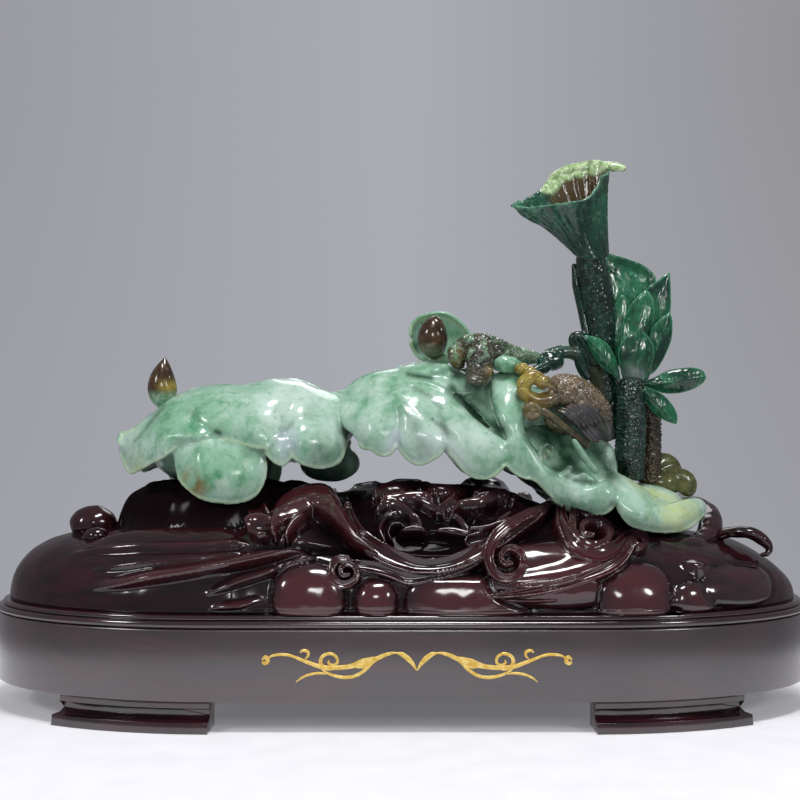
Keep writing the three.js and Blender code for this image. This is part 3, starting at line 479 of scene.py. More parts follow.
# Patches of colour in the pale stone: place and radius in millimetres, and weight
LIGHT_PATCHES = ((165, -50, 140, 75, 0.7), (80, -50, 165, 55, 0.3))
GREEN_PATCHES = ((-117, -62, 150, 30, 0.45), (-140, -50, 200, 40, 0.25))
VIOLET_PATCHES = ((-76, -52, 176, 15, 0.5), (-4, -45, 178, 14, 0.5))
YELLOW_PATCHES = ((184, -40, 138, 34, 0.6), (160, -25, 152, 24, 0.4), (-186, -30, 150, 26, 0.4),
    (-150, -62, 150, 16, 0.35))
STAIN, STAIN_HEART = (-140, -60, 148, 17), (-146, -58, 140, 9)


def stone(name, rough, weight, scale, radius, coat, ior):
    """A shader that light enters a little, under a thin polish."""
    return Shader(name, Roughness=rough, Subsurface_Weight=weight, Subsurface_Scale=scale,
                  Subsurface_Radius=radius, Coat_Weight=coat, Coat_Roughness=0.06, IOR=ior)


@cache
def pale_jade():
    """White and mint stone with green clouds, yellow-green hems, a few brown stains, and painted shade in its
    hollows and under its lobes.
    """
    look = bpy.context.scene.carving_look
    shader = stone("pale_jade", 0.2, 0.35, 0.004, (0.7, 1.0, 0.75), 0.12, 1.44)
    cloud = shader.cloud(19.0, 5.0, 0.6, 0.3)
    fleck = shader.cloud(75.0, 5.0, 0.68, 0.3, stretch=(1, 1, 0.75), turn=(0, 0.5, 0))
    speck = shader.cloud(240.0, 3.0, 0.6, 0.2)
    milk = shader.cloud(55.0, 4.0, 0.6, 0.3, shift=(7, 2, 5))
    ripple = shader.cloud(210.0, 3.0, 0.6)
    light = shader.patches(LIGHT_PATCHES)
    green = shader.rise(cloud, 0.66, 0.36) * (1 - light * 0.5) + shader.patches(GREEN_PATCHES)
    stain = shader.near(*STAIN) * shader.rise(shader.cloud(70.0, 4.0), 0.40, 0.62)
    stain = stain + shader.near(*STAIN_HEART) * 0.4
    colour = shader.layered(
        look.jade_white,
        (green, look.jade_mint),
        (shader.rise(fleck, 0.42, 0.70) * (green * 0.65 + 0.22), look.jade_green),
        (shader.rise(milk, 0.55, 0.72) * 0.5, (0.60, 0.70, 0.64)),
        (shader.rise(speck, 0.56, 0.72) * 0.4, look.jade_green),
        # Painted shade, partly the stone's own deep green: dark green where the leaves mark their hollows and
        # the stone under their lobes
        (shader.painted("deep") * (shader.rise(fleck, 0.2, 0.6) * 0.4 + 0.6), (0.008, 0.052, 0.022)),
        (shader.patches(VIOLET_PATCHES), (0.52, 0.52, 0.66)),
        (stain * 0.85, (0.20, 0.12, 0.03)),
        (shader.patches(YELLOW_PATCHES) * shader.rise(milk, 0.3, 0.6), (0.50, 0.56, 0.16)),
        (shader.painted("rim") * 0.6, (0.52, 0.66, 0.42)))
    return shader.wire(Base_Color=colour, Roughness=shader.rise(fleck, 0.3, 0.8) * 0.14 + 0.14,
                       Normal=shader.bump(ripple, 0.2, 0.5))


# Tones of the green stone: deep, middle, light and pale; and of the brown stone: deep, middle and light
GREENS = {
    "petal": ((0.003, 0.030, 0.018), (0.012, 0.120, 0.052), (0.10, 0.36, 0.20), (0.36, 0.37, 0.45)),
    "roll": ((0.004, 0.032, 0.022), (0.014, 0.095, 0.052), (0.15, 0.38, 0.25), (0.56, 0.68, 0.42)),
    "stalk": ((0.002, 0.012, 0.008), (0.005, 0.034, 0.022), (0.08, 0.19, 0.13), (0.2, 0.3, 0.2)),
    "stem": ((0.020, 0.016, 0.007), (0.045, 0.034, 0.013), (0.17, 0.14, 0.08), (0.2, 0.3, 0.2)),
    "knob": ((0.004, 0.025, 0.016), (0.009, 0.060, 0.036), (0.12, 0.28, 0.20), (0.2, 0.3, 0.2)),
}
BROWNS = {
    "bird": ((0.038, 0.028, 0.017), (0.165, 0.115, 0.060), (0.56, 0.51, 0.42)),
    "dark_bird": ((0.012, 0.014, 0.012), (0.065, 0.062, 0.038), (0.40, 0.43, 0.33)),
    "bud": ((0.016, 0.009, 0.004), (0.060, 0.030, 0.010), (0.20, 0.13, 0.04)),
    "perch": ((0.036, 0.030, 0.016), (0.125, 0.105, 0.055), (0.42, 0.38, 0.22)),
    "olive": ((0.070, 0.075, 0.022), (0.14, 0.15, 0.045), (0.36, 0.37, 0.14)),
}


@cache
def green_jade(tone):
    """Deep green stone with lighter streaks and pale edges."""
    shader = stone("green_jade_" + tone, 0.24, 0.12, 0.003, (0.4, 1.0, 0.6), 0.22, 1.5)
    deep, mid, light, pale = GREENS[tone]
    streak = shader.cloud(60.0, 5.0, 0.65, 0.5, stretch=(1, 1, 0.6))
    fleck = shader.cloud(230.0, 4.0, 0.7, 0.3)
    dim = tuple(0.4 * c * share for c, share in zip(pale, (1, 1.35, 0.8)))
    cream = shader.mix(shader.rise(fleck, 0.36, 0.62), pale, dim)
    colour = shader.layered(
        deep,
        (shader.rise(streak, 0.38, 0.64), mid),
        (shader.rise(fleck, 0.50, 0.76) * shader.rise(streak, 0.3, 0.6) * 0.6, light),
        (shader.painted("rim") * 0.8, light),
        (shader.painted("brown") * 0.95, (0.060, 0.034, 0.009)),
        (shader.painted("slate"), tuple(0.6 * c for c in deep)),
        (shader.painted("pale") * shader.rise(streak, 0.15, 0.45), cream))
    return shader.wire(Base_Color=colour, Roughness=shader.rise(fleck, 0.3, 0.8) * 0.2 + 0.15,
                       Normal=shader.bump(fleck, 0.2, 0.4))


@cache
def brown_jade(tone):
    """Brown and amber stone with dark veins."""
    shader = stone("brown_jade_" + tone, 0.2, 0.2, 0.003, (1.0, 0.6, 0.3), 0.3, 1.5)
    deep, mid, light = BROWNS[tone]
    streak = shader.cloud(75.0, 5.0, 0.65, 1.0)
    fleck = shader.cloud(300.0, 4.0, 0.7, 0.4)
    honey = shader.mix(shader.rise(streak, 0.4, 0.6), (0.38, 0.30, 0.055), (0.19, 0.13, 0.028))
    mint = shader.mix(shader.rise(fleck, 0.4, 0.6), (0.12, 0.30, 0.15), (0.33, 0.48, 0.34))
    colour = shader.layered(
        deep,
        (shader.rise(streak, 0.36, 0.66), mid),
        (shader.rise(fleck, 0.52, 0.74) * 0.6, light),
        (shader.painted("rim") * 0.8, light),
        (shader.painted("amber") * 0.9, honey),
        (shader.painted("slate"), (0.030, 0.036, 0.046)),
        (shader.painted("green"), mint))
    return shader.wire(Base_Color=colour, Roughness=shader.rise(fleck, 0.3, 0.8) * 0.2 + 0.12,
                       Normal=shader.bump(fleck, 0.15, 0.4))


# Each kind of wood: roughness, the lacquer's weight, roughness and index, and the sheen under it
WOODS = {
    "carved": (0.5, 1.0, 0.13, 1.74, 0.0),
    "satin": (0.34, 1.0, 0.2, 1.72, 0.5),
    "board": (0.5, 1.0, 0.13, 1.9, 0.0),
}


@cache
def rosewood(kind):
    """Dark red wood under lacquer: glossy on the carving, satin on the plinth's band; with painted light on
    the raised carving and painted shade in its hollows.
    """
    look = bpy.context.scene.carving_look
    rough, coat, haze, ior, sheen = WOODS[kind]
    shader = Shader("rosewood_" + kind, Roughness=rough, Coat_Weight=coat, Coat_Roughness=haze, Coat_IOR=ior,
                    IOR=ior - 0.06, Specular_IOR_Level=sheen)
    grain = shader.cloud(30.0, 6.0, 0.62, 0.7, stretch=(0.35, 2.4, 3.2))
    pore = shader.cloud(420.0, 3.0, 0.6, 0.0, stretch=(0.12, 1, 1))
    wide = shader.cloud(7.0, 2.0, 0.5, 0.2)
    dark = shader.painted("shade")
    colour = shader.layered(
        look.wood_dark,
        (shader.rise(grain, 0.35, 0.68), look.wood_red),
        (shader.rise(wide, 0.45, 0.75) * 0.5, look.wood_dark),
        # Painted light: raised carving lighter red where light falls, with some random wear on the boulders
        (shader.painted("worn_and_lit") * 0.8, look.wood_lit),
        # Painted shade: near black in the hollows, along the crest, under the pads and on the boulders
        (dark * 0.85, (0.003, 0.002, 0.003)),
        (shader.rise(pore, 0.60, 0.78) * 0.5, (0.006, 0.003, 0.003)))
    height = grain * 0.5 + pore * 0.5
    roughness = shader.rise(grain, 0.2, 0.8) * 0.10 + dark * 0.25 + (rough - 0.05)
    return shader.wire(Base_Color=colour, Roughness=roughness, Coat_Weight=(1 - dark * 0.95) * coat,
                       Normal=shader.bump(height, 0.10, 0.3))


@cache
def gold_leaf():
    shader = Shader("gold_leaf", Metallic=0.6, Roughness=0.42, Coat_Weight=0.1)
    patch = shader.cloud(300.0, 4.0, 0.6)
    colour = shader.mix(shader.rise(patch, 0.35, 0.7), (0.72, 0.45, 0.07), (0.95, 0.72, 0.25))
    return shader.wire(Base_Color=colour, Roughness=shader.rise(patch, 0.2, 0.8) * 0.2 + 0.32,
                       Normal=shader.bump(patch, 0.3, 0.2))


@cache
def plain_steel():
    shader = Shader("steel", Metallic=1.0, Roughness=0.38)
    turned = shader.cloud(900.0, 2.0, 0.5, stretch=(1, 1, 0.05))
    colour = shader.mix(shader.rise(turned, 0.3, 0.7), (0.42, 0.41, 0.40), (0.60, 0.59, 0.57))
    return shader.wire(Base_Color=colour, Roughness=shader.rise(turned, 0.2, 0.8) * 0.2 + 0.28,
                       Normal=shader.bump(turned, 0.2, 0.1))


# The leaves. Each canopy: its top edge and its hem in pixels, and how far it reaches out at the hem. Each
# lobe: outline and middle in pixels, how proud it stands and its dome. Each raised hem: line and how proud it
# stands. Each stroke of painted shade in a hollow, partly the stone's own deep green: line, half width in
# pixels and darkness. Then the stone inside, small bars and knobs.

def canopy(top, hem, reach):
    """Depth of a draped leaf: nothing at its ridge and its full reach at its hem."""
    top, hem, reach = (np.asarray(v, float).T for v in (top, hem, reach))

    def depth(px, py):
        high = np.interp(px, *top)
        low = np.interp(px, *hem)
        fall = np.clip((py - high) / (low - high), 0, 1)
        return -np.interp(px, *reach) * np.sqrt(1 - (1 - fall) ** 2)
    return depth


LEFT_TOP = ((118, 436), (130, 428), (153, 412), (182, 393), (212, 384), (241, 383), (273, 377), (304, 381),
            (324, 390), (345, 396), (352, 400))
LEFT_HEM = ((118, 460), (131, 474), (160, 474), (185, 488), (215, 503), (250, 500), (268, 480), (300, 470),
            (348, 462))
LEFT_REACH = ((118, 6), (135, 26), (165, 46), (200, 58), (255, 58), (300, 52), (335, 40), (352, 22))
LEFT_LOBES = (
    (((175, 446), (174, 460), (176.5, 473), (182, 483), (190, 491), (199, 497), (210, 500.4),
     (230.6, 502.4), (245, 501), (256, 495), (263.3, 485), (266.5, 472), (266, 458), (262, 447), (250, 438),
     (230, 432), (200, 434), (184, 438)), (220, 465), 0.5, 4.5),
    (((118.4, 444.3), (121, 437), (126, 433), (131, 430), (142, 420), (153, 412), (166, 408), (180, 410),
     (196, 420), (212, 433), (205, 439), (190, 441), (176, 446), (163, 457), (151, 463), (140, 469),
     (130.6, 473), (124, 463), (119, 452)), (158, 436), 3, 5),
    (((166, 407), (174, 399), (182, 393), (195, 387), (212, 384), (241, 384), (260, 380), (274, 377.5),
     (292, 379), (306, 384), (300, 398), (290, 413), (284, 430), (277, 443), (266, 448), (252, 446),
     (240, 443), (226, 440), (212, 434), (198, 424), (182, 412)), (238, 412), 3.5, 6),
    (((264, 444), (266, 453), (273.5, 461), (282.7, 465), (290, 457), (294, 446), (290, 436), (277, 434),
     (267, 438)), (279, 448), 4.5, 3),
    (((287, 379), (305, 381), (325, 390), (345, 395.5), (354, 406), (352, 420), (347, 434), (338, 436),
     (326, 424), (306, 420), (290, 428), (283, 420), (284, 400)), (316, 404), 1.5, 5),
    (((285, 438), (287.8, 426), (295, 418), (306, 413), (325, 408.6), (337, 416), (343, 431), (348, 441),
     (346, 451), (341, 458), (335, 464), (326, 467), (318, 468), (304, 464), (296, 459), (290, 452)),
     (315, 440), 4, 6),
)
LEFT_RIMS = (
    (LEFT_LOBES[1][0][18:11:-1], 2.4),
    (LEFT_LOBES[0][0][2:13], -0.6),
    (((222, 439), (232.7, 440.2), (245, 444), (256, 447), (266, 448)), 2.9),
    (LEFT_LOBES[3][0][1:5], 3.9),
    (((290, 452), (296, 459), (304, 464), (318, 468), (326, 467), (335, 464), (341, 458), (348, 441)), 3.4),
    (((118.4, 444.3), (124, 434), (134, 429)), 2.4),
)
# Painted shade in the left leaf's hollows and folds, partly the stone's deep green
LEFT_SHADE_STROKES = (
    (((135, 441), (146, 428), (157, 414), (165, 405)), 2, 0.55), (((216, 431.5), (220, 433)), 2.6, 1),
    (((246, 451), (256, 452), (264, 456)), 6, 0.45), (((270, 448), (280, 436), (292, 424)), 3, 0.4),
    (((318, 446), (324, 456)), 10, 0.35), (((344, 432), (352, 436)), 5, 0.7),
)
LEFT_CORES = (
    ((-136, 0, 181), (45, 44, 34)), ((-82, 0, 191), (50, 40, 28)), ((-152, 38, 158), (20, 12, 16)),
    ((-52, 30, 162), (22, 14, 14)),
)
LEFT_BARS = ((((132, 448, -18), (122, 444, -10), (121, 436, -6), (129, 431, -8)), (1, 3, 3, 1.5),
             (1, 2.2, 2.2, 1.2)),)
MIDDLE_TOP = ((325, 392), (346, 394), (365, 390), (380, 378), (393, 369), (406, 363), (421, 360),
              (450, 362), (480, 364), (510, 362), (540, 366), (560, 380), (575, 400))
MIDDLE_HEM = ((325, 440), (358, 440), (385, 456), (400, 452), (420, 465), (445, 452), (470, 475),
              (490, 478), (507, 466), (535, 482), (560, 500))
MIDDLE_REACH = ((325, 14), (345, 34), (370, 46), (420, 50), (500, 52), (560, 52))
MIDDLE_LOBES = (
    (((330, 392), (346, 394), (360, 390.5), (372, 384), (380, 378), (393, 369), (406, 363.3), (421, 360.4),
     (438, 361), (452, 366), (470, 376), (476, 388), (466, 396), (447, 392), (430, 386), (408, 382),
     (390, 384), (378, 390), (362, 396), (345, 404), (332, 404)), (405, 376), 0, 3),
    (((340, 401), (352, 394), (366, 391), (376, 391), (388, 391), (399, 394), (402, 405), (400, 420),
     (398, 436), (395, 447), (391.6, 453), (384, 456), (377, 454), (370, 449), (364, 448.5), (358, 442),
     (352, 434), (343, 427), (337, 414)), (376, 420), 3, 4),
    (((392, 394), (404, 396), (418, 404), (430, 414), (440, 428), (445, 442), (443, 452), (433, 459),
     (425, 463.5), (418, 464.6), (411, 462), (404, 456), (399, 449), (397, 436), (397, 420), (394, 405)),
     (417, 430), 4, 5),
    (((384, 389), (395, 384), (412, 381.7), (430, 384), (447, 391), (462, 404), (477, 420), (492, 432),
     (504, 440), (508, 452), (506, 464), (500, 470), (492, 477), (484, 479.2), (476, 478), (469.4, 475),
     (462, 468), (455, 459), (448, 452), (446, 440), (440, 427), (430, 414), (418, 404), (400, 394)),
     (462, 438), 3, 5),
    (((452, 372), (474, 368), (496, 372), (504, 384), (500, 400), (508, 418), (516, 432), (512, 444),
     (500, 440), (488, 426), (474, 410), (460, 394)), (486, 398), -3.5, -2.5),
    (((492, 376), (508, 370), (522, 372), (531, 386), (530, 402), (525, 414), (525, 430), (532, 444),
     (541, 458), (549, 474), (557, 492), (556, 501), (549, 494), (542, 486), (534, 480), (524, 478),
     (514.8, 473.4), (508, 466), (507, 452), (506, 436), (498, 420), (492, 400)), (515, 430), 2, 4),
)
MIDDLE_RIMS = (
    (((358, 443), (364, 448.5), (370, 449), (377, 454), (384, 456), (391.6, 453), (397, 445)), 2.4),
    (MIDDLE_LOBES[2][0][12:5:-1], 3.4),
    (MIDDLE_LOBES[3][0][18:9:-1], 2.4),
    (((507, 466), (514.8, 473.4), (524, 478), (534, 480), (542, 486), (549, 494), (558, 502)), 1.4),
    (MIDDLE_LOBES[3][0][:5], 2.8),
    (((365, 393), (378, 391), (399, 395), (418, 404.5), (433, 417.5), (441.5, 432), (446, 446)), 3.6),
)
# Painted shade in the middle leaf's valleys, under the bird and between the lobes
MIDDLE_SHADE_STROKES = (
    (((452, 388), (466, 402), (482, 417), (500, 430)), 6.5, 1),
    (((458, 378), (472, 394), (486, 408)), 10, 0.65), (((408, 374), (418, 376), (431, 378)), 3, 1),
    (((415, 388), (430, 396), (441, 408)), 3, 0.5), (((408, 408), (416, 432), (424, 448)), 8, 0.35),
    (((440, 412), (446, 432)), 4, 0.4), (((517, 398), (522, 410)), 4, 0.7),
    (((532, 410), (533, 430), (546, 452)), 8, 1),
)
MIDDLE_CORES = (((16, 0, 206), (61, 36, 25)), ((72, 0, 196), (45, 38, 26)))
MIDDLE_BARS = ((((507, 446, -55), (509, 443.5, -55), (513, 445, -55), (513.5, 450, -55), (510, 453, -55)),
    (1.2,), None, 24, 10),)
MIDDLE_KNOBS = ((436, 372, -27, 3.4), (444, 368, -27, 4), (449, 375, -27, 3.6), (441, 379, -27, 3.2),
    (452, 383, -27, 3.4), (432, 379, -27, 2.4))
RIGHT_TOP = ((505, 385), (530, 388), (560, 396), (590, 410), (610, 440), (620, 462), (645, 478), (665, 492),
             (690, 494), (708, 500))
RIGHT_HEM = ((505, 470), (535, 482), (548, 500), (566, 510), (590, 517), (612, 512), (626, 524), (655, 534),
             (680, 532), (698, 523), (708, 512))
RIGHT_REACH = ((505, 44), (540, 50), (590, 52), (640, 52), (680, 42), (700, 24), (708, 10))
RIGHT_LOBES = (
    (((522, 400), (545, 396), (562, 402), (580, 412), (598, 428), (612, 448), (618, 470), (612, 486),
     (590, 486), (565, 480), (545, 474), (530, 462), (522, 440), (519, 418)), (568, 442), -4, -4),
    (((536, 458), (546, 466), (560, 472), (578, 480), (596, 484), (612, 478), (622, 486), (620, 500),
     (614, 506), (607, 512.5), (597, 515.5), (586, 516), (575, 513), (565.7, 509), (557, 503), (550, 497),
     (545, 486), (538, 472)), (580, 494), 3, 5),
    (((612, 480), (618, 473), (633, 480), (645, 489), (656, 497), (671, 502), (687, 499), (699, 497.6),
     (705.8, 503.7), (705, 513), (694.3, 523.6), (684, 529), (671.3, 532), (656, 532), (644, 530),
     (633, 526.6), (625, 521), (619, 515), (615, 506), (611, 494)), (652, 510), 3, 6),
    (((512, 442), (521, 438), (531, 444), (540, 455), (541, 466), (538, 478), (526, 477), (516, 473),
     (509, 464), (508, 452)), (524, 460), 3, 3),
)
RIGHT_RIMS = (
    (RIGHT_LOBES[1][0][15:7:-1], 2.4),
    (((616, 508), *RIGHT_LOBES[2][0][16:8:-1]), 2.4),
    (((548, 452), (541, 460), (538, 468), (541, 480)), 2.6),
)
# Painted shade in the right leaf's valleys
RIGHT_SHADE_STROKES = (
    (((528, 414), (538, 426), (550, 444)), 14, 1), (((548, 424), (560, 446), (570, 462)), 14, 1),
    (((592, 446), (602, 460), (610, 474)), 10, 1), (((556, 470), (566, 466), (580, 470)), 7, 0.9),
    (((544, 452), (547, 457)), 4, 1), (((574, 480), (590, 482)), 3, 0.5),
    (((613, 505), (616, 510)), 4, 0.8),
)
RIGHT_CORES = (
    ((150, 2, 134), (48, 38, 16)), ((112, -2, 176), (27, 30, 28)), ((137, 0, 160), (15, 22, 20)),
    ((140, -8, 165), (8, 27, 13)), ((110, 13, 171), (36, 34, 30)), ((115, 24, 175), (33, 26, 24)),
)
RIGHT_BARS = ((((541, 462, -52), (540, 452, -52), (544, 446, -52), (550, 446, -52), (553, 452, -52),
              (549, 458, -52)), (1.6,), None, 28, 10), (((572, 438, -46), (578, 448, -46), (586, 460, -46),
              (598, 474, -46)), (2, 3, 2.5), None, 24, 10))
RIGHT_KNOBS = ((566, 474, -53, 3.6), (574, 478, -53, 3.2), (583, 476, -53, 3.8), (590, 480, -53, 3),
    (570, 468, -53, 2.6))

# Each draped leaf's name and tables, with the number of its hems that are pale
LEAVES = (
    ("leaf_left", (LEFT_TOP, LEFT_HEM, LEFT_REACH), LEFT_LOBES, LEFT_RIMS, 6, LEFT_SHADE_STROKES, LEFT_CORES,
     LEFT_BARS, ()),
    ("leaf_middle", (MIDDLE_TOP, MIDDLE_HEM, MIDDLE_REACH), MIDDLE_LOBES, MIDDLE_RIMS, 4, MIDDLE_SHADE_STROKES,
     MIDDLE_CORES, MIDDLE_BARS, MIDDLE_KNOBS),
    ("leaf_right", (RIGHT_TOP, RIGHT_HEM, RIGHT_REACH), RIGHT_LOBES, RIGHT_RIMS, 3, RIGHT_SHADE_STROKES, RIGHT_CORES,
     RIGHT_BARS, RIGHT_KNOBS),
)
# The small round leaf: outline and middle in pixels, its stem, and the painted shadow at its lower left as
# pixel and half sizes
ROUND_LEAF = (((410.7, 338.4), (410.6, 331), (411.8, 325), (416, 320), (421, 316.4), (431, 313.6),
              (441.5, 312.7), (449, 314.5), (455, 318), (461, 323), (466.4, 329.6), (470, 336), (466, 346),
              (456, 354), (444, 358), (430, 360), (420, 358), (415, 352), (411.5, 345)), (438, 338))
ROUND_STEM = (((440, 356, 8), (436, 366, 2), (430, 376, -6)), (8, 6, 7), (6, 5, 6))
ROUND_SHADOW = (416, 345, 9.487, 9.487)
# The small olive leaf: two blades with their widths, and the knot between them
OLIVE_BLADES = ((((650, 470, 4), (662, 466, 8), (668, 474, 10), (664, 490, 8)), 11), (((655, 484, 2),
    (668, 480, 5), (684, 484, 6), (680, 494, 4)), 10))
OLIVE_KNOT = (((662, 484, 6), (12, 8, 9), 0),)


def leaf_skin(name, lobes, depth, extras):
    """One draped leaf: its lobes in front, the same lobes behind, and the stone between them."""
    front = [pillow(outline, middle, depth, proud, dome) for outline, middle, proud, dome in lobes]
    piece = fused(name, [*front, *map(mirrored, front), *extras], 1.15, 5)
    points = points_of(piece)
    raise_points(piece, waves(points, 26, 1) * 0.9 + waves(points, 11, 2) * 0.35)
    return piece


def leaf_paint(piece, rims, deep, depth):
    """Marks the pale hems, and paints shade in the hollows and on the stone under the lobes."""
    points = points_of(piece)
    px, py = pixel(points)
    forward = np.abs(points[:, 1]) + depth(px, py)
    rim = np.max([stroke(px, py, line, 1.7) for line, _ in rims], 0)
    dark = np.max([stroke(px, py, line, width) * tone for line, width, tone in deep], 0)
    paint(piece, "rim", rim * step(-14, -7, forward))
    # Painted shade: the hollow strokes, and the stone under and behind the lobes a little darker
    paint(piece, "deep", np.maximum(dark, (1 - step(-16, -9, forward)) * 0.35))


def raised_rims(rims, depth):
    """Thin beads along the hems, each as proud as its lobe, in front and behind."""
    beads = []
    for line, proud in rims:
        px, py = np.asarray(line, float).T
        bead = sweep(spot(px, py, depth(px, py) - proud), shares([1.2]), shares([1.2]), steps=36, sides=10)
        beads += [bead, mirrored(bead)]
    return beads


class CARVING_OT_leaves(bpy.types.Operator):
    """Models the three draped leaves and the two small ones"""

    bl_idname = "carving.leaves"
    bl_label = "Leaves"

    def execute(self, context):
        for name, span, lobes, rims, pale, deep, cores, bars, knobs in LEAVES:
            depth = canopy(*span)
            extras = [blob(*row) for row in cores] + [bar(*row) for row in bars]
            extras += [blob(spot(x, y, deep_in), (r, r, r * 0.8), 16, 10) for x, y, deep_in, r in knobs]
            piece = leaf_skin(name + "_skin", lobes, depth, extras + raised_rims(rims, depth))
            leaf_paint(piece, rims[:pale], deep, depth)
            settle(piece, "jade", "jade_pale", pale_jade(), name)
        self.round_leaf()
        olive = [sweep([spot(*p) for p in route], petal(width), petal(2.6, 1, 6), cup=0.2)
                 for route, width in OLIVE_BLADES]
        piece = fused("leaf_olive_skin", olive + lumps(OLIVE_KNOT), 0.9, 3)
        settle(piece, "jade", "jade_brown", brown_jade("olive"), "leaf_olive")
        return {"FINISHED"}

    def round_leaf(self):
        outline, middle = ROUND_LEAF
        rim = np.vstack([outline, outline[:1]])
        bead = sweep(spot(*rim.T, 11.0), shares([1.5]), shares([1.5]), steps=60, sides=10)
        skin = pillow(outline, middle, lambda px, py: np.full(np.shape(px), 12.0), 1.0, -3.0, 8.0)
        piece = fused("leaf_upper_skin", [skin, bead, bar(*ROUND_STEM)], 0.9, 4)
        px, py = pixel(points_of(piece))
        paint(piece, "rim", stroke(px, py, rim, 2.0) * 0.8)
        # Painted shadow at the lower left of the round leaf
        paint(piece, "deep", dab(px, py, *ROUND_SHADOW) * 0.8)
        settle(piece, "jade", "jade_pale", pale_jade(), "leaf_upper")


# Buds, birds and twigs

# Half widths of the two buds along their length
POINTED_SHARES = (0, 0.50, 0.72, 0.86, 0.95, 1, 1, 0.97, 0.91, 0.82, 0.70, 0.56, 0.40, 0.20, 0)
EGG_SHARES = (0, 0.45, 0.66, 0.80, 0.90, 0.97, 1, 1, 0.98, 0.93, 0.85, 0.74, 0.59, 0.38, 0)
# Each bud: foot and tip in pixels, depth, half width, form, slot, and how amber and how green it is
BUDS = (
    ("bud_left", (165, 410), (165, 356.5), -3.0, 10.2, POINTED_SHARES, "jade_brown", 1.0, 0.9),
    ("bud_dark", (435, 359.5), (436.5, 315), -2.0, 10.6, EGG_SHARES, "jade_dark", 0.0, 0.2),
)


class CARVING_OT_buds(bpy.types.Operator):
    """Models the two buds"""

    bl_idname = "carving.buds"
    bl_label = "Buds"

    def execute(self, context):
        for node, low, high, depth, width, form, slot, amber, green in BUDS:
            route = [spot(*low, depth), spot((low[0] + high[0]) / 2 - 3, (low[1] + high[1]) / 2, depth),
                     spot(*high, depth)]
            half = lambda s: width * shares(form)(s)
            piece = piece_from(node + "_skin", sweep(route, half, half, steps=60, sides=48))
            points = points_of(piece)
            middle, base, tip = route[1][0], route[0][2], route[-1][2]
            share = (points[:, 2] - base) / (tip - base)
            around = np.arctan2(points[:, 1] - depth, points[:, 0] - middle)
            seam = np.abs(np.sin(around * 1.5 + share * 2.2))
            inward = (points - (middle, depth, 0)) * (1, 1, 0)
            ease = (share > 0.02) & (share < 0.98)
            points = points - inward * (0.10 * np.exp(-((seam / 0.16) ** 2)) * ease)[:, None]
            move_points(piece, points)
            ripe = np.exp(-(((share - 0.42) / 0.12) ** 2)) * step(-6, 6, points[:, 0] - middle)
            paint(piece, "amber", ripe * amber)
            paint(piece, "green", (1 - step(0.22, 0.40, share)) * green)
            settle(piece, "jade", slot, brown_jade("bud"), node)
        return {"FINISHED"}


def grainy(piece, size, height, seed, where=None):
    """Raises round grains on a piece."""
    points = points_of(piece)
    raise_points(piece, height * grains(points, size, seed) * (1 if where is None else where(points)))


# The birds, their perch and the twig. A bar has a route in pixels with depths, half widths and half
# thicknesses in millimetres, then its steps and sides. A lump has a place, half sizes and a turn.
UPPER_BACK = (
    ((455, 352, -16), (466, 348, -18), (480, 348, -20), (496, 352, -20), (512, 356, -18), (528, 357, -14),
     (541, 358, -12)),
    (4, 9, 10.5, 9, 7, 5, 3), (5, 9, 10.5, 9, 7, 5, 3),
)
UPPER_HEAD = (479, 374, -34)
UPPER_NECK = (((478, 352, -26), (480, 362, -31), UPPER_HEAD), (9, 9, 8))
UPPER_SKULL = (
    ((0, 0, 0), (9.5, 9, 9), 0), ((-3, -7.5, -5), (6.5, 4.5, 3), 0.2),
    ((6.8, -5.6, 1.5), (2.2, 2.2, 2.6), 0),
)
UPPER_LUMPS = (((456.5, 357, -24), (5.5, 6, 8.4), -0.35), ((478, 357, -37), (3.4, 3, 6.2), 0.5))
UPPER_FEATHERS = (((453, 357, -29), -0.4), ((456.5, 358, -30.5), -0.3), ((460, 358, -29.5), -0.2))
UPPER_EYE, UPPER_WING, UPPER_TAIL = (6.8, -6.5, 1.5), (456.5, 357, -27), (496, 525)
JADE_ROLL = (((494, 366, -26), (503, 364, -29), (512, 365, -28), (520, 367, -24)), (3, 6, 5.5, 3),
             (3, 5.5, 5, 3))
LOWER_NECK = (
    ((560, 395, -30), (549, 399, -36), (535, 400.5, -40), (524.5, 393.5, -42), (524, 383.5, -42),
     (533, 377, -42), (543, 378.5, -42)),
    (7, 6.4, 5.6, 5, 4.8, 5.2, 3.5), None, 60,
)
LOWER_BODY = (
    ((549, 390, -30), (562, 389, -32), (578, 397, -32), (592, 410, -29), (602, 425, -24), (610, 440, -18)),
    (7, 11.5, 12.5, 11.5, 8, 3), (7, 12, 13, 11, 7, 3), 60,
)
LOWER_HEAD = (((543, 382, -43), (5.6, 5.2, 4.6), -0.3),)
LOWER_BEAK = (((546, 384, -45), (552, 388, -46), (556, 391, -45)), (2.2, 1.5, 0.6), (1.8, 1.3, 0.5), 20, 12)
LOWER_EYE = (542, 380.5, -47.6)
LOWER_CREST = (((522, 369, -34), (5.2, 6, 4.4), 0), ((530, 371.5, -36), (4.4, 5, 3.8), 0))
# Rows of quills: count, first start and its gain, first end and its gain, bend, half widths, half
# thicknesses, midrib, steps and sides
QUILLS = ((8, ((557, 410, -44), (28, -15, 0.6)), ((580, 429, -40), (30, -7, 5)), (0, -3.2, 1),
          (0.8, 1.25, 1.25, 1.15, 0.6), (1.4, 2.4, 2.4, 1.4), 0, 30, 14), (6, ((572, 418, -33), (8, -8, 0)),
          ((596, 446, -26), (15, -16, 2)), (0, -3, 0), (1.2, 2.2, 2.2, 1), (1, 1.2, 0.8), 0.4, 24, 12))
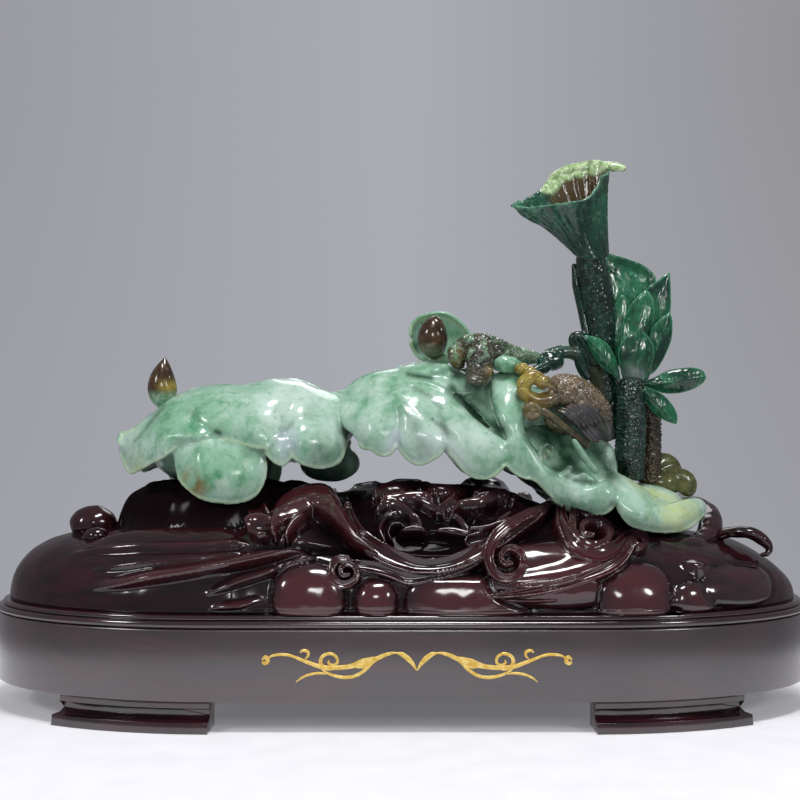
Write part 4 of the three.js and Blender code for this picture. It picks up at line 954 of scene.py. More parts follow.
# Lines of pixels above which the lower bird is grainy, and below which its wing is slate grey
GRAIN_LINE = ((554, 409), (570, 401), (586, 396), (606, 412))
WING_LINE = ((554, 411), (572, 404), (588, 402), (612, 420))
PERCH_BAR = ((541, 410, -55), (552, 417, -52), (563, 426, -47), (578, 438, -40), (588, 446, -33))
PERCH_RING = (532, 411)
PERCH_LUMPS = (((532, 411, -54), (3.4, 6, 3), 0), ((556, 424, -34), (10, 5, 5), 0.65))
TWIG_ARCH = (
    ((546, 357, -6), (560, 352.5, -4), (574, 353, -2), (588, 362, 0), (598, 376, 1), (604, 394, 2),
     (606, 414, 3), (606, 436, 3)),
    (5, 4.6, 5.6, 7, 7, 6, 5), (5, 4.4, 4.4, 5, 5, 5), 60,
)
TWIG_KNOB = (((551, 360.5, -10), (9.2, 9, 6.6), 0.15),)
TWIG_END = (((540, 358, -12), (546, 366, -16), (533, 371, -22)), (4, 4, 3))


class CARVING_OT_birds(bpy.types.Operator):
    """Models the two birds, the perch and the twig with its knob"""

    bl_idname = "carving.birds"
    bl_label = "Birds"

    def execute(self, context):
        self.upper()
        self.lower()
        self.perch()
        self.twig()
        return {"FINISHED"}

    def upper(self):
        head = spot(*UPPER_HEAD)
        shells = [bar(*UPPER_BACK, facing=(0, 0, 1)), bar(*UPPER_NECK)]
        shells += [blob(head + shift, halves, turn=turn) for shift, halves, turn in UPPER_SKULL]
        shells += lumps(UPPER_LUMPS)
        shells += [blob(spot(*place), (1.4, 1.2, 5.1), 16, 12, turn) for place, turn in UPPER_FEATHERS]
        piece = fused("bird_upper_skin", shells, 0.75, 2)
        grainy(piece, 1.9, 1.1, 3, lambda p: step(-6, 3, p[:, 2] - head[2] - 4))
        points = points_of(piece)
        eye = np.linalg.norm(points - (head + UPPER_EYE), axis=1)
        wing = np.linalg.norm((points - spot(*UPPER_WING)) * (1, 1, 0.6), axis=1)
        paint(piece, "amber", np.exp(-((eye / 3.2) ** 2)) + 0.5 * np.exp(-((wing / 5.5) ** 2)))
        mottled = step(-0.1, 0.5, waves(points, 5, 21)) * step(-2, 8, points[:, 2] - head[2] - 6)
        paint(piece, "green", np.maximum(0.5 * step(*UPPER_TAIL, pixel(points)[0]), 0.6 * mottled))
        settle(piece, "jade", "jade_brown", brown_jade("dark_bird"), "bird_upper")

        piece = fused("jade_roll", [bar(*JADE_ROLL)], 0.8, 2)
        grainy(piece, 2.6, 0.8, 5)
        paint(piece, "deep", waves(points_of(piece), 4, 3) * 0.5)
        settle(piece, "jade", "jade_pale", pale_jade())

    def lower(self):
        shells = [bar(*LOWER_NECK, facing=(0, 0, 1)), bar(*LOWER_BODY), *lumps(LOWER_HEAD), bar(*LOWER_BEAK),
                  blob(spot(*LOWER_EYE), (1.1, 1.1, 1.1), 14, 10), *lumps(LOWER_CREST)]
        for count, first, last, bend, half, thick, midrib, steps, sides in QUILLS:
            for u in np.arange(count) / (count - 1):
                start, end = (spot(*(np.array(place) + u * np.array(gain))) for place, gain in (first, last))
                shells.append(sweep([start, (start + end) / 2 + bend, end], shares(half), shares(thick),
                                    (0.2, -1, 0.3), midrib=midrib, steps=steps, sides=sides))
        piece = fused("bird_lower_skin", shells, 0.55, 1)

        def rough(points):
            px, py = pixel(points)
            return step(548, 560, px) * (1 - step(-1, 3, line_distance(px, py, GRAIN_LINE)[0]))

        grainy(piece, 1.7, 1.0, 4, rough)
        points = points_of(piece)
        px, py = pixel(points)
        paint(piece, "amber", 1 - step(541, 556, px))
        paint(piece, "rim", 0.6 * step(0.2, 1, grains(points, 1.7, 4)) * rough(points))
        wing = line_distance(px, py, WING_LINE)[0]
        paint(piece, "slate", step(2, -5, -wing) * step(550, 558, px) * 0.8 * step(446, 436, py))
        settle(piece, "jade", "jade_brown", brown_jade("bird"), "bird_lower")

    def perch(self):
        shells = []
        for shift in (-1.8, 1.6):
            route = [(x, y + shift, depth) for x, y, depth in PERCH_BAR]
            shells.append(bar(route, (1.5, 1.3, 1.3, 1.6), (3,), 40, 14))
        x, y = PERCH_RING
        ring = [(x + 6.2 * math.cos(a), y + 5.6 * math.sin(a), -56) for a in np.linspace(0.2, 6.9, 15)]
        piece = fused("perch_skin", [*shells, bar(ring, (2.6,), (3.4,), 60, 14), *lumps(PERCH_LUMPS)], 0.7, 1)
        grainy(piece, 1.6, 0.5, 6)
        paint(piece, "amber", 0.25 * np.exp(-((pixel(points_of(piece))[0] - x) ** 2) / 90))
        settle(piece, "jade", "jade_brown", brown_jade("perch"), "perch")

    def twig(self):
        piece = fused("twig_skin", [bar(*TWIG_ARCH), *lumps(TWIG_KNOB), bar(*TWIG_END)], 0.8, 2)
        grainy(piece, 2.0, 0.7, 7, lambda p: 1 - step(560, 570, pixel(p)[0]))
        paint(piece, "brown", 0.5 * step(562, 580, pixel(points_of(piece))[0]))
        settle(piece, "jade", "jade_dark", green_jade("knob"), "twig")


# The stalks: route in pixels with depths, half widths, slot, tone, grain size and height, noise seed, how
# pale the grains are and how brown the foot is
STALKS = (("stalk_front", ((630, 478, -8), (630, 455, -10), (631, 425, -10), (631, 398, -10),
          (632, 380, -8)), (9, 10, 9.6, 9.2, 8), "jade_dark", "stalk", 2.9, 1.4, 16, 0.9, 0),
          ("stalk_right", ((650, 484, 6), (650, 460, 7), (651, 436, 7), (650, 412, 5), (646, 395, 2)),
          (7.5, 7, 6.6, 6.2, 4), "jade_brown", "stem", 2.7, 1.4, 16, 0.9, 0.6), ("stalk_back",
          ((612, 440, 4), (608, 400, 6), (602, 360, 6), (601, 325, 6), (596, 290, 5), (592, 268, 3),
          (591, 254, 0), (590, 240, -2)),
          (8, 9, 9, 9.5, 11, 11.9, 11.2, 8), "jade_dark", "stalk", 3, 0.8, 15, 0.5, 0.6))
# The strand beside the back stalk: its bars, and the small petal between them
STRAND_BARS = ((((574, 262, 4), (577, 285, 4), (583, 315, 4), (588, 340, 2), (592, 352, 0)),
    (1.5, 3.2, 3, 3, 3.5), (2, 4, 4, 4, 3), 40, 16), (((596, 366, -2), (588, 348, -2), (581, 337, -2),
    (575, 336, -2), (572.5, 341, -2), (575, 346, -2), (580, 345, -2)), (5, 5, 4.4, 3.8, 3, 2),
    (4, 4, 4, 4, 3, 2), 40, 16))
STRAND_PETAL = ((577, 346, -4), (582, 364, -3), (590, 380, 0))


class CARVING_OT_stalks(bpy.types.Operator):
    """Models the three grainy stalks and the strand beside the back one"""

    bl_idname = "carving.stalks"
    bl_label = "Stalks"

    def execute(self, context):
        for node, route, radii, slot, tone, size, height, seed, paleness, brown in STALKS:
            piece = piece_from(node + "_skin", bar(route, radii, None, 150, 96))
            grainy(piece, size, height, seed)
            points = points_of(piece)
            bumps = grains(points, size, seed) * (0.5 + 0.5 * waves(points, 3, 17))
            paint(piece, "rim", paleness * step(0.5, 0.8, bumps))
            paint(piece, "brown", brown * step(420, 470, pixel(points)[1]))
            settle(piece, "jade", slot, green_jade(tone), node)
        strand = [bar(*row) for row in STRAND_BARS]
        strand.append(sweep([spot(*p) for p in STRAND_PETAL], petal(5), petal(2.5, 1, 5)))
        settle(fused("stalk_strand", strand, 0.8, 2), "jade", "jade_dark", green_jade("stalk"))
        return {"FINISHED"}


# Petals: outline and middle in pixels, depth, depth gained down the petal, dome
PETALS = (
    (((670, 272), (664, 276), (656, 281), (646, 289), (637, 297), (630, 310), (629, 328), (633, 346),
     (642, 360), (652, 360), (661, 345), (667, 328), (671, 309), (671.5, 290), (671, 279)),
     (652, 318), 7, -0.5, 3.2),
    (((623, 294.5), (617.5, 301), (613, 311), (610.5, 324), (610.5, 341), (614, 358), (621, 368),
     (627, 360), (628, 340), (628.5, 322), (629.5, 306), (626.5, 298)), (620, 332), 2, -0.3, 2.6),
    (((647.5, 290), (641, 294), (634, 300.5), (627.5, 311), (622.5, 326), (621, 343), (624, 358),
     (632, 368), (642, 366), (648, 352), (651, 336), (654, 321), (655, 308), (652.5, 297)),
     (637, 330), -1, -1, 4.4),
    (((670, 312.5), (663, 316.5), (657, 322), (651.5, 331), (648.5, 343), (647, 358), (646, 372),
     (652, 374), (660, 365), (667, 352), (671.5, 340), (673, 328), (672.5, 318)),
     (659, 344), -5, -0.6, 3.4),
    (((640.8, 326), (636, 331.5), (628, 335.5), (622, 342), (618.5, 351), (619, 362), (622, 373),
     (628, 381), (635, 384), (642.5, 380.5), (649, 371), (653.5, 360), (654.6, 350), (652, 341),
     (646.5, 334), (643, 331)), (636, 357), -14, 0.5, 5.6),
    (((585.5, 335.5), (590, 335.5), (597, 337), (607, 343), (612, 350), (616, 359), (619, 369),
     (620.5, 380), (616, 377.5), (611, 373.5), (601, 366), (595, 358), (591, 351), (587.5, 342)),
     (604, 355), -12, 0, 3.4),
    (((706, 377), (704, 371.5), (698.5, 368.5), (691, 367.3), (683, 367.8), (674, 369), (665, 371.5),
     (656, 376.5), (645, 381), (637, 384), (645, 388.5), (652, 389.5), (663, 393), (673, 393.5),
     (683, 392.3), (692, 389.5), (699, 386), (704, 382)), (678, 381), -8, 1, 4.2),
    (((676, 423.5), (677.5, 417), (675.5, 410), (671, 403), (664, 395.5), (655, 390), (645, 386),
     (637, 384), (640, 391), (645, 400), (651, 409.5), (657, 415.5), (664, 420), (670, 422.5)),
     (659, 405), -12, 0.4, 3.6),
)
SIDE_LEAF = (
    ((608, 254), (616, 255), (624, 257), (633, 260), (642, 263.5), (650, 269), (656, 276), (656, 286),
     (650, 298), (642, 308), (633, 314), (623, 312), (614, 304), (609, 290), (606, 272)),
    (632, 282), 9, -1.0, -3.2,
)
LOTUS_HEART = (((636, 364, -3), (11, 9, 18), 0),)
# Marks on the petals: pixel and half sizes
BROWN_MARK, PALE_MARK = (622, 388, 10.954, 10.954), (634, 374, 11, 10)


class CARVING_OT_flower(bpy.types.Operator):
    """Models the lotus flower and the curled side leaf"""

    bl_idname = "carving.flower"
    bl_label = "Flower"

    def execute(self, context):
        self.petals("lotus_skin", PETALS, lumps(LOTUS_HEART), "lotus_flower")
        self.petals("side_leaf_skin", (SIDE_LEAF,), [], "side_leaf")
        return {"FINISHED"}

    def petals(self, name, table, extras, node):
        """A piece of thin domed petals with a light edge, a fine midrib and streaks along them."""
        count, rings = 96, 22
        share = 1 - (1 - np.linspace(0, 1, rings + 1)[1:]) ** LOBE_SPACING
        edge = np.repeat(np.r_[share, share[::-1]], count)
        rim = np.r_[np.exp(-(((1 - edge) / 0.05) ** 2)), 0, 0]
        shells, ribs = [], []
        for outline, middle, depth, fall, dome in table:
            plane = lambda px, py: depth + fall * (np.asarray(py) - middle[1]) / 10
            shells.append(pillow(outline, middle, plane, 0, dome, 2.8, count, rings, 0.9))
            start, end = np.array(outline[0]), np.array(middle)
            ribs.append(stroke(*pixel(shells[-1][0]), (start, end, end + (end - start) * 0.8), 1.1))
        spare = np.zeros(sum(len(shell[0]) for shell in extras))
        piece = piece_from(name, merged(shells + extras))
        points = points_of(piece)
        rib = np.concatenate([*ribs, spare]) * (normals_of(piece)[:, 1] < -0.2)
        streak = waves(points * (1.6, 1, 0.25), 3.0, 4) * 0.3 + waves(points, 2.2, 6) * 0.1
        raise_points(piece, streak + 0.45 * rib)
        paint(piece, "rim", np.r_[np.tile(rim, len(table)), spare] * 0.9)
        px, py = pixel(points)
        paint(piece, "brown", 0.5 * dab(px, py, *BROWN_MARK))
        paint(piece, "pale", 0.5 * dab(px, py, *PALE_MARK))
        settle(piece, "jade", "jade_green", green_jade("petal"), node)


# Rolled leaf: its rim and its foot as rings of pixels with depths, from the right round the front
ROLL_RIM = ((611, 171, -2), (603, 175, -9), (598, 187, -15), (587, 197.5, -20), (567, 201, -23),
            (548, 203.5, -19), (530, 206, -11), (513, 205.5, -1), (524, 198, 9), (536, 191, 16),
            (546, 182, 21), (556, 171, 24), (568, 163, 24), (582, 160, 21), (597, 157, 14), (608, 161, 6))
ROLL_FOOT = ((610, 255, 0), (608, 257, -5.5), (602, 259, -10), (595, 260, -12), (588, 260, -12.5),
             (581, 258, -11.5), (575, 255, -9), (572, 251, -4), (572, 249, 2), (575, 249, 7.5),
             (581, 250, 10.5), (587, 251, 12), (594, 251, 12), (600, 252, 10.5), (606, 253, 8),
             (609, 254, 4))


# Outward share of the wall's left side against its height share, and the lip's highest point in millimetres
ROLL_FLARE = ((0, 0), (0.36, 0.39), (0.56, 0.62), (0.68, 0.82), (0.8, 0.95), (1, 1))
LIP_TOP = 379.9
# The lip that curls over at the right, and the tip at the left
ROLL_LIP = (
    ((548, 184.5, 20), (556, 176, 22), (568, 169.5, 22), (582, 166.6, 19), (596, 164.8, 14),
     (609, 163.8, 9), (619, 165, 6), (627, 168.5, 3)),
    (2, 4.2, 5, 5, 4.9, 5, 5, 2.6), (2, 3, 3.2, 3.2, 3, 2.8, 2.4, 1.4), 70, 32,
)
ROLL_TIP = (((522, 202, -4), (516, 204, -2), (510.5, 205.5, -1)), (3, 2.2, 0.6), (3, 2, 0.5), 20, 16)
ROLL_STAIN = (590, 180, 16, 9)


class CARVING_OT_rolled_leaf(bpy.types.Operator):
    """Models the rolled leaf on top of the back stalk"""

    bl_idname = "carving.rolled_leaf"
    bl_label = "Rolled leaf"

    def execute(self, context):
        lip = bar(*ROLL_LIP, facing=(0.1, -0.85, 0.5), cup=0.3)
        piece = fused("rolled_leaf_skin", [self.wall(), lip, bar(*ROLL_TIP)], 0.8, 2)
        points = points_of(piece)
        bump = waves(points, 2.4, 8) * 0.35 + waves(points, 1.2, 9) * 0.15
        raise_points(piece, bump * step(560, 520, pixel(points)[0]) + bump * 0.4)
        points = points_of(piece)
        over = np.maximum(0, points[:, 2] - LIP_TOP + 6)
        points[:, 2] -= over * (1 - min(1, 6 / over.max()))
        move_points(piece, points)
        self.tint(piece)
        settle(piece, "jade", "jade_green", green_jade("roll"), "rolled_leaf")
        return {"FINISHED"}

    def wall(self):
        """The flared wall with its belly and its upright ribs, hollow down to a floor near its foot."""
        count, levels, floor = 120, 46, 10
        rim = smooth_route([spot(*p) for p in ROLL_RIM], count, closed=True)
        foot = smooth_route([spot(*p) for p in ROLL_FOOT], count, closed=True)
        u = np.linspace(0, 1, levels)[:, None, None]
        around = 2 * np.pi * np.arange(count) / count
        left = step(556, 528, pixel(rim)[0])[None, :, None]
        flare = u + (np.interp(u, *np.array(ROLL_FLARE).T) - u) * left
        wall = foot + (rim - foot) * np.concatenate([flare, flare, np.broadcast_to(u, flare.shape)], 2)
        middle = wall.mean(1, keepdims=True)
        spread = (wall - middle) * (1, 1, 0)
        bulge = np.sin(np.pi * u)
        belly = 1 - 0.16 * bulge + 0.10 * bulge * (np.cos(around - 0.3) > 0.55)[None, :, None]
        crease = 1 - np.abs(np.sin(around * 8 + 0.6 * np.sin(around * 3)))
        fine = np.cos(around * 33) * 0.012
        ribs = 1 - ((0.13 * crease**1.6 + fine) * np.sin(np.pi * (0.08 + 0.8 * u[..., 0])))[..., None]
        outer = middle + spread * belly * ribs + (wall - middle) * (0, 0, 1)
        away = unit((outer - outer.mean(1, keepdims=True)) * (1, 1, 0))
        inner = outer - away * (3.4 - 1.3 * u)
        return capped(np.concatenate([outer, inner[::-1][:-floor]]), foot.mean(0)[None],
                      inner[floor].mean(0)[None] + (0, 0, 1))

    def tint(self, piece):
        """Marks the pale lip and rim, the brown hollow and the slate foot."""
        points = points_of(piece)
        px, py = pixel(points)
        lip = np.array([spot(*p) for p in ROLL_LIP[0]])
        off_lip = step(6.5, 10.5, np.min(np.linalg.norm(points[:, None] - lip[None], axis=2), axis=1))
        inward = ((points - points.mean(0)) * (1, 1, 0) * normals_of(piece)).sum(1) < 0
        inside = inward * step(0, 6, points[:, 2] - 325) * off_lip
        right = step(548, 562, px)
        paint(piece, "brown", inside * 0.9 * right + 0.7 * dab(px, py, *ROLL_STAIN) * off_lip)
        paint(piece, "slate", 0.75 * step(205, 252, py))
        paint(piece, "pale", 1 - off_lip)
        line = [p[:2] for p in ROLL_RIM[:9]]
        cloudy = step(0, 0.4, waves(points, 4, 11))
        edge = stroke(px, py, line, 1.6) + 0.5 * stroke(px, py, line[4:], 9) * cloudy
        paint(piece, "rim", edge * off_lip * (1 - inside * right))


# The carved mound

def mound_height(x, y):
    """Height of the bare mound over the deck."""
    end = MOUND_HALF - STRAIGHT_HALF
    a, b = np.abs(x), np.abs(y) / MOUND_DEPTH
    flat = (STRAIGHT_HALF / end) ** 2 - 1
    cross = a * STRAIGHT_HALF / end**2
    rest = (a / end) ** 2 + b * b
    rho = np.where(b * STRAIGHT_HALF >= a, b, (cross - np.sqrt(np.maximum(0, cross**2 - flat * rest))) / flat)
    rho = np.minimum(1, rho)
    lengthways = a / np.maximum(np.hypot(x, y * MOUND_HALF / MOUND_DEPTH), 1e-6)
    at, high = np.array(CREST_SHARES).T
    u = np.clip(x / MOUND_HALF, -1, 1)
    i = np.clip(np.searchsorted(at, u), 1, len(at) - 1)
    t = (u - at[i - 1]) / (at[i] - at[i - 1])
    t = t * t * (3 - 2 * t)
    crest = high[i - 1] + (high[i] - high[i - 1]) * t
    return CREST * crest * np.maximum(0, 1 - rho ** (2.4 + 4.0 * lengthways**2)) ** 0.45


# Folds of the drapery: line in pixels, height in millimetres, widths in pixels above and below the edge
RIDGES = (
    (((262, 541), (240, 546), (200, 549), (150, 550), (95, 553), (30, 558)), 5, 8, 2.4),
    (((322, 551), (285, 558), (255, 565), (200, 575), (125, 586), (50, 594)), 8.5, 13, 3),
    (((328, 556), (300, 564), (281, 572), (235, 586), (180, 603)), 7, 9, 3),
    (((278, 592), (266, 599), (240, 606), (190, 610)), 5, 8, 2.4),
    (((262, 553), (225, 558), (190, 562), (120, 568), (50, 575)), 4.2, 5, 2.6),
    (((250, 533), (200, 534), (145, 535), (112, 540), (70, 545)), 4.5, 1.4, 8),
    (((634, 541), (660, 546), (689, 554), (715, 561.6), (753, 572), (778, 580)), 3.6, 2.2, 8),
    (((670, 556), (679, 563), (702, 577), (721, 590), (748, 600)), 7, 14, 2.4),
    (((640, 556), (650, 572), (664, 588), (690, 602)), 2.6, 3, 7),
    (((664, 533), (681, 540), (697, 542.5), (715, 541)), 3.4, 2, 5),
)
# Swells: middle and half sizes in pixels, height in millimetres
SWELLS = ((309, 599, 37, 36, 8.5), (376, 603, 22, 24, 7.5), (466, 603, 62, 33, 7), (556, 573, 68, 36, 8.5),
          (634, 600, 37, 38, 7.5), (694, 598, 22, 18, 5), (735, 585, 36, 22, 2.5))
# Bowls of the centre: middle and half sizes in pixels, depth in millimetres
BOWLS = ((400, 528, 27, 20, 7), (432, 540, 42, 12, 5), (467, 519, 15, 9, 5), (440, 504, 12, 7, 4),
         (421, 493, 10, 4, 3.5), (473, 493, 8, 4, 3), (494, 506, 14, 5, 3.5), (351, 500, 11, 12, 4.5),
         (589, 539, 15, 10, 4), (297, 549, 44, 7, 5), (347, 573, 9, 9, 3), (509, 562, 11, 12, 4),
         (598, 580, 14, 4, 2))
# The sunk heart of the scrolls: middle and half sizes in pixels
HEART = (470, 526, 165, 54)
# Blades: route in pixels, half widths in pixels, height in millimetres, hollowness
BLADES = (
    (((282, 524), (293, 513), (307, 504), (320, 503), (330, 510), (338, 521), (347, 534), (358, 546),
     (371, 554)), (7, 11, 13, 12, 8.5, 6, 5, 4, 1.5), 11, -0.5),
    (((270, 516), (263, 516), (257, 520), (255, 525)), (3, 4.5, 4.5, 3), 10, -0.9),
    (((274, 530), (265, 528), (256, 530), (251, 533)), (4, 5, 5, 3), 11, -0.9),
    (((268, 541), (260, 541), (254, 539)), (2.5, 3.6, 2.4), 8, -0.9),
    (((291, 519), (284, 524), (278, 531), (276, 539)), (4, 5.5, 5.5, 4), 11, -0.9),
    (((303, 524), (296, 529), (291, 536), (288, 543)), (3, 4.5, 4.5, 3), 9, -0.9),
    (((304, 512), (320, 517), (331, 524), (342, 533), (351, 542), (360, 549), (374, 555.5)),
     (1, 1.5, 2, 2.2, 2.2, 2, 1), 10, -0.5),
    (((330, 492), (334, 502), (339, 511), (346, 520), (350, 528), (357, 541), (366, 549.5), (376, 555.5)),
     (1, 1.8, 2, 2, 2, 2, 2, 1), 7, -0.5),
    (((349, 512), (354, 530), (363, 543), (378, 553), (395, 561), (415, 567), (437, 567.5), (458, 563),
     (478, 554), (497, 544), (518, 531), (538, 518), (553, 507)),
     (3, 6, 8, 8.5, 7.5, 6.5, 6.8, 7.2, 7.5, 6, 4.5, 3.5, 1.5), 6, 0.6),
    (((352, 566), (372, 568), (392, 573), (408, 579), (428, 577), (450, 573), (470, 566), (486, 558)),
     (4, 5, 5.5, 5.5, 4, 3.5, 3, 1.5), 5, 0.45),
    (((348, 562), (338, 563), (332, 570), (333, 579), (341, 585), (351, 583.5), (357, 577), (355, 569),
     (347, 566.5), (341, 571), (343, 577), (349, 576)),
     (2.5, 3.2, 3.6, 3.6, 3.4, 3.2, 3, 2.6, 2.2, 2, 1.8, 1.4), 7, 0.2),
    (((548, 511), (532, 519), (516, 527), (503, 535), (493, 545), (488, 558), (491, 571), (501, 579),
     (513, 578), (520.5, 570), (521, 560), (514, 553), (505, 553), (500, 559), (503, 566), (510, 566)),
     (1.5, 3, 3.8, 4.4, 4.8, 5, 4.8, 4.4, 4, 3.6, 3.2, 2.8, 2.5, 2.2, 2, 1.4), 8.5, 0.35),
    (((470, 541), (486, 537), (503, 530), (524, 521), (545, 509)), (5, 5, 4.5, 3.5, 2), 2.5, 0.8),
    (((470, 531.5), (487, 530), (504.4, 524.5), (525, 517.6), (539, 510.5), (552, 505)),
     (1, 2, 2.4, 2.4, 2, 1.2), 5, -0.4),
    (((560, 509), (558.5, 520), (561, 532), (568, 545), (580, 555), (597, 559), (611, 555), (622, 546),
     (632, 541)), (3, 5, 6, 7, 7.5, 7.5, 6.5, 4.5, 2.5), 8.5, 0.5),
    (((573, 515), (571, 527), (573, 540), (582, 549), (594, 551), (604, 546), (606, 537), (598, 529),
     (587, 528), (580, 533), (582, 541), (590, 542)),
     (2.5, 3, 3, 3, 3, 2.8, 2.6, 2.4, 2.2, 2, 2, 1.6), 7.5, 0.2),
    (((566, 509), (577, 514), (588, 519), (598, 526)), (1.5, 4, 3.5, 1.5), 7, 0.3),
    (((622, 557), (626, 549), (633, 545), (641, 548), (640, 554), (633, 555), (629, 551)),
     (2.5, 2.8, 2.8, 2.5, 2.2, 2, 1.6), 9, 0.2),
    (((625, 557), (617, 566), (604, 573), (588, 578.5), (570, 584), (552, 588), (530, 591.5), (505, 594.5),
     (489, 595.5)), (3, 4.5, 4.2, 3.6, 3.4, 3.6, 3, 2, 1), 10.5, 0.35),
    (((572, 581), (553, 585), (536, 586), (518, 587)), (2.2, 2.2, 2, 1), 10.5, 0.2),
    (((506, 599.3), (530, 600), (554, 599.5)), (1, 1.5, 1), 8, -0.3),
    (((376, 499), (383.6, 493.8), (392, 491.4), (402, 490.4), (411, 487.6), (419, 486), (425.7, 488),
     (430.5, 492.4), (436, 498)), (1.5, 3, 3.4, 3.2, 2.6, 2.2, 2, 2, 1), 6, -0.5),
    (((382, 509), (387.4, 503.4), (397, 502), (406.6, 500.5), (416, 500.5), (425.7, 501.4), (432, 506)),
     (2, 3.5, 3.4, 3, 2.6, 2.4, 1), 6.5, -0.5),
    (((378, 514), (385, 508), (391, 506.5), (399, 509), (406.6, 513.4), (412.3, 518.2), (419, 523)),
     (2, 3, 3, 3, 2.8, 2.4, 1.2), 5, -0.5),
    (((416, 503), (421, 504.8), (430.5, 508.6), (438, 513.4), (444, 519)), (1.2, 2, 2.4, 2.4, 1), 5, -0.5),
    (((379, 489), (381.7, 486), (387.4, 482.6), (393, 481.6), (399, 483.4), (402, 488)),
     (1.5, 2.5, 3, 3, 2.4, 1), 4.5, -0.5),
    (((425.7, 500.5), (430.5, 496.7), (437, 494.7), (445.8, 495.2), (452.5, 498.5), (453, 503),
     (445, 508.5), (438, 512.5)), (1.5, 2.4, 2.6, 2.6, 2.4, 2.2, 2.2, 1.2), 6.5, -0.5),
    (((450.6, 494), (459.2, 491.4), (465, 489.5), (471.6, 486.6), (480, 488.5), (484, 494)),
     (1.5, 2.4, 2.4, 2.4, 2.4, 1), 6, -0.5),
    (((452, 517), (455.4, 512.6), (459.2, 509), (468.8, 507), (479.3, 505.8), (490, 502), (503, 496)),
     (1.5, 2.6, 3, 3, 2.8, 2.4, 1.2), 6.5, -0.5),
    (((474, 499), (478, 498), (484, 494), (491.8, 490.6), (499.9, 493), (506, 497)),
     (1.2, 2, 2.4, 2.6, 2.4, 1), 6, -0.5),
    (((478, 500), (490.7, 498), (500, 499.5), (508, 500)), (1, 2, 2, 1), 5.5, -0.5),
    (((503, 496), (507, 492), (511, 490), (515, 494), (513, 498)), (1.5, 2, 2.2, 2, 1), 7, -0.5),
    (((446, 508), (454, 515), (461, 522), (468, 530)), (2, 3.4, 3.4, 1.2), 2.5, -0.4),
    (((403, 530), (411, 527.5), (418, 527.5), (424, 530)), (1.2, 2.4, 2.4, 1), 1.5, -0.5),
    (((385, 541), (380, 530), (384, 519), (394, 513), (404, 515), (411, 521)),
     (1.2, 2, 2.2, 2.2, 2, 1), 1, -0.5),
    (((391, 537), (388, 529), (392, 521.5), (400, 520.5), (405, 524)), (1.2, 1.8, 2, 1.8, 1), -2, -0.5),
    (((438, 530), (452, 529), (466, 532), (480, 532)), (1.5, 3.5, 3, 1.2), 1, -0.4),
    (((494, 526), (501, 520), (509, 514)), (2, 3.5, 2), 2.5, -0.4),
)
# Height of the panels' ground in millimetres, and rows of the panels and of their undersides
DEEPEST = -12.0
PANEL_ROWS, PANEL_COLUMNS, UNDER_ROWS = 186, 490, 16
# Columns of pixels between which the panels lie
PANEL_LOW, PANEL_HIGH = 222, 670
# The crest as seen, where the relief fades out
CREST_LINE = ((222, 460), (318, 470), (333, 484), (360, 482), (410, 480), (455, 483), (500, 489),
              (545, 502), (600, 515), (625, 530), (670, 540))


def drapery(px, py):
    """Height of the folds and swells over the bare mound, in millimetres."""
    total = np.zeros(px.shape)
    for line, height, above, below in RIDGES:
        far, share = line_distance(px, py, line)
        up_side = (far < 0) == (line[0][0] < line[-1][0])
        away = np.abs(far) / np.where(up_side, above, below)
        start = np.hypot(px - line[0][0], py - line[0][1])
        ends = step(0, 30, start) * step(1.0, 0.7, share)
        total = np.maximum(total, -3 + (height + 3) * np.exp(-(away**1.6)) * ends)
    for x, y, rx, ry, height in SWELLS:
        r = (np.abs((px - x) / rx) ** 2.5 + np.abs((py - y) / ry) ** 2.5) ** 0.4
        total = np.maximum(total * step(0.85, 1.15, r), (height + 1) * np.maximum(0, 1 - r**2.4) ** 0.5 - 1)
        total -= 1.0 * step(1.12, 1.0, r) * (r >= 1)
    return total


def scrollwork(px, py):
    """Height of the scrolls in the middle of a face, in millimetres."""
    total = drapery(px, py)
    total = total - 3.5 * step(1.1, 0.85, oval(px, py, *HEART)) * step(600, 570, py)
    for *place, depth in BOWLS:
        total = total - depth * step(1.15, 0.3, oval(px, py, *place))
    for route, halves, height, hollow in BLADES:
        fine = smooth_route(route, 4 * len(route))
        reach = max(halves) + 9
        low, high = fine.min(0) - reach, fine.max(0) + reach
        near = (px > low[0]) & (px < high[0]) & (py > low[1]) & (py < high[1])
        far, share = line_distance(px[near], py[near], fine)
        half = shares(halves)(share)
        u = np.minimum(1, np.abs(far) / half)
        dip = hollow * (1 - u * u) if hollow > 0 else -hollow * u * u
        body = height - abs(height - DEEPEST) * 0.32 * dip
        soft = (far < 0) & (hollow < -0.45) & (py[near] < 535)
        wall = np.maximum(0, np.abs(far) - half) / np.where(soft, 6, 1.6)
        raised = DEEPEST + (body - DEEPEST) * np.exp(-(wall**2))
        total[near] = np.maximum(total[near], raised)
    return total * step(-1, 11, below_crest(px, py))


def below_crest(px, py):
    """How far below the crest a pixel lies."""
    return py - np.interp(px, *np.array(CREST_LINE).T)


def middle_share(px, py, inset=0):
    """1 in the middle of a face, where the scroll panel covers the mound, and 0 past its edge."""
    return (step(224, 232, px - inset) * step(668, 660, px + inset)
            * step(612.5, 608.5, py + 0.4 * inset))


def turned_front(points):
    """Places with those behind turned half round to the front."""
    return points * np.where(points[:, 1:2] > 0, (-1, -1, 1), (1, 1, 1))


# The pads of rock under the stone: middle, half sizes and height over the deck in millimetres
PADS = ((-122, 0, 81, 60, 79), (144, 0, 54, 54, 61))


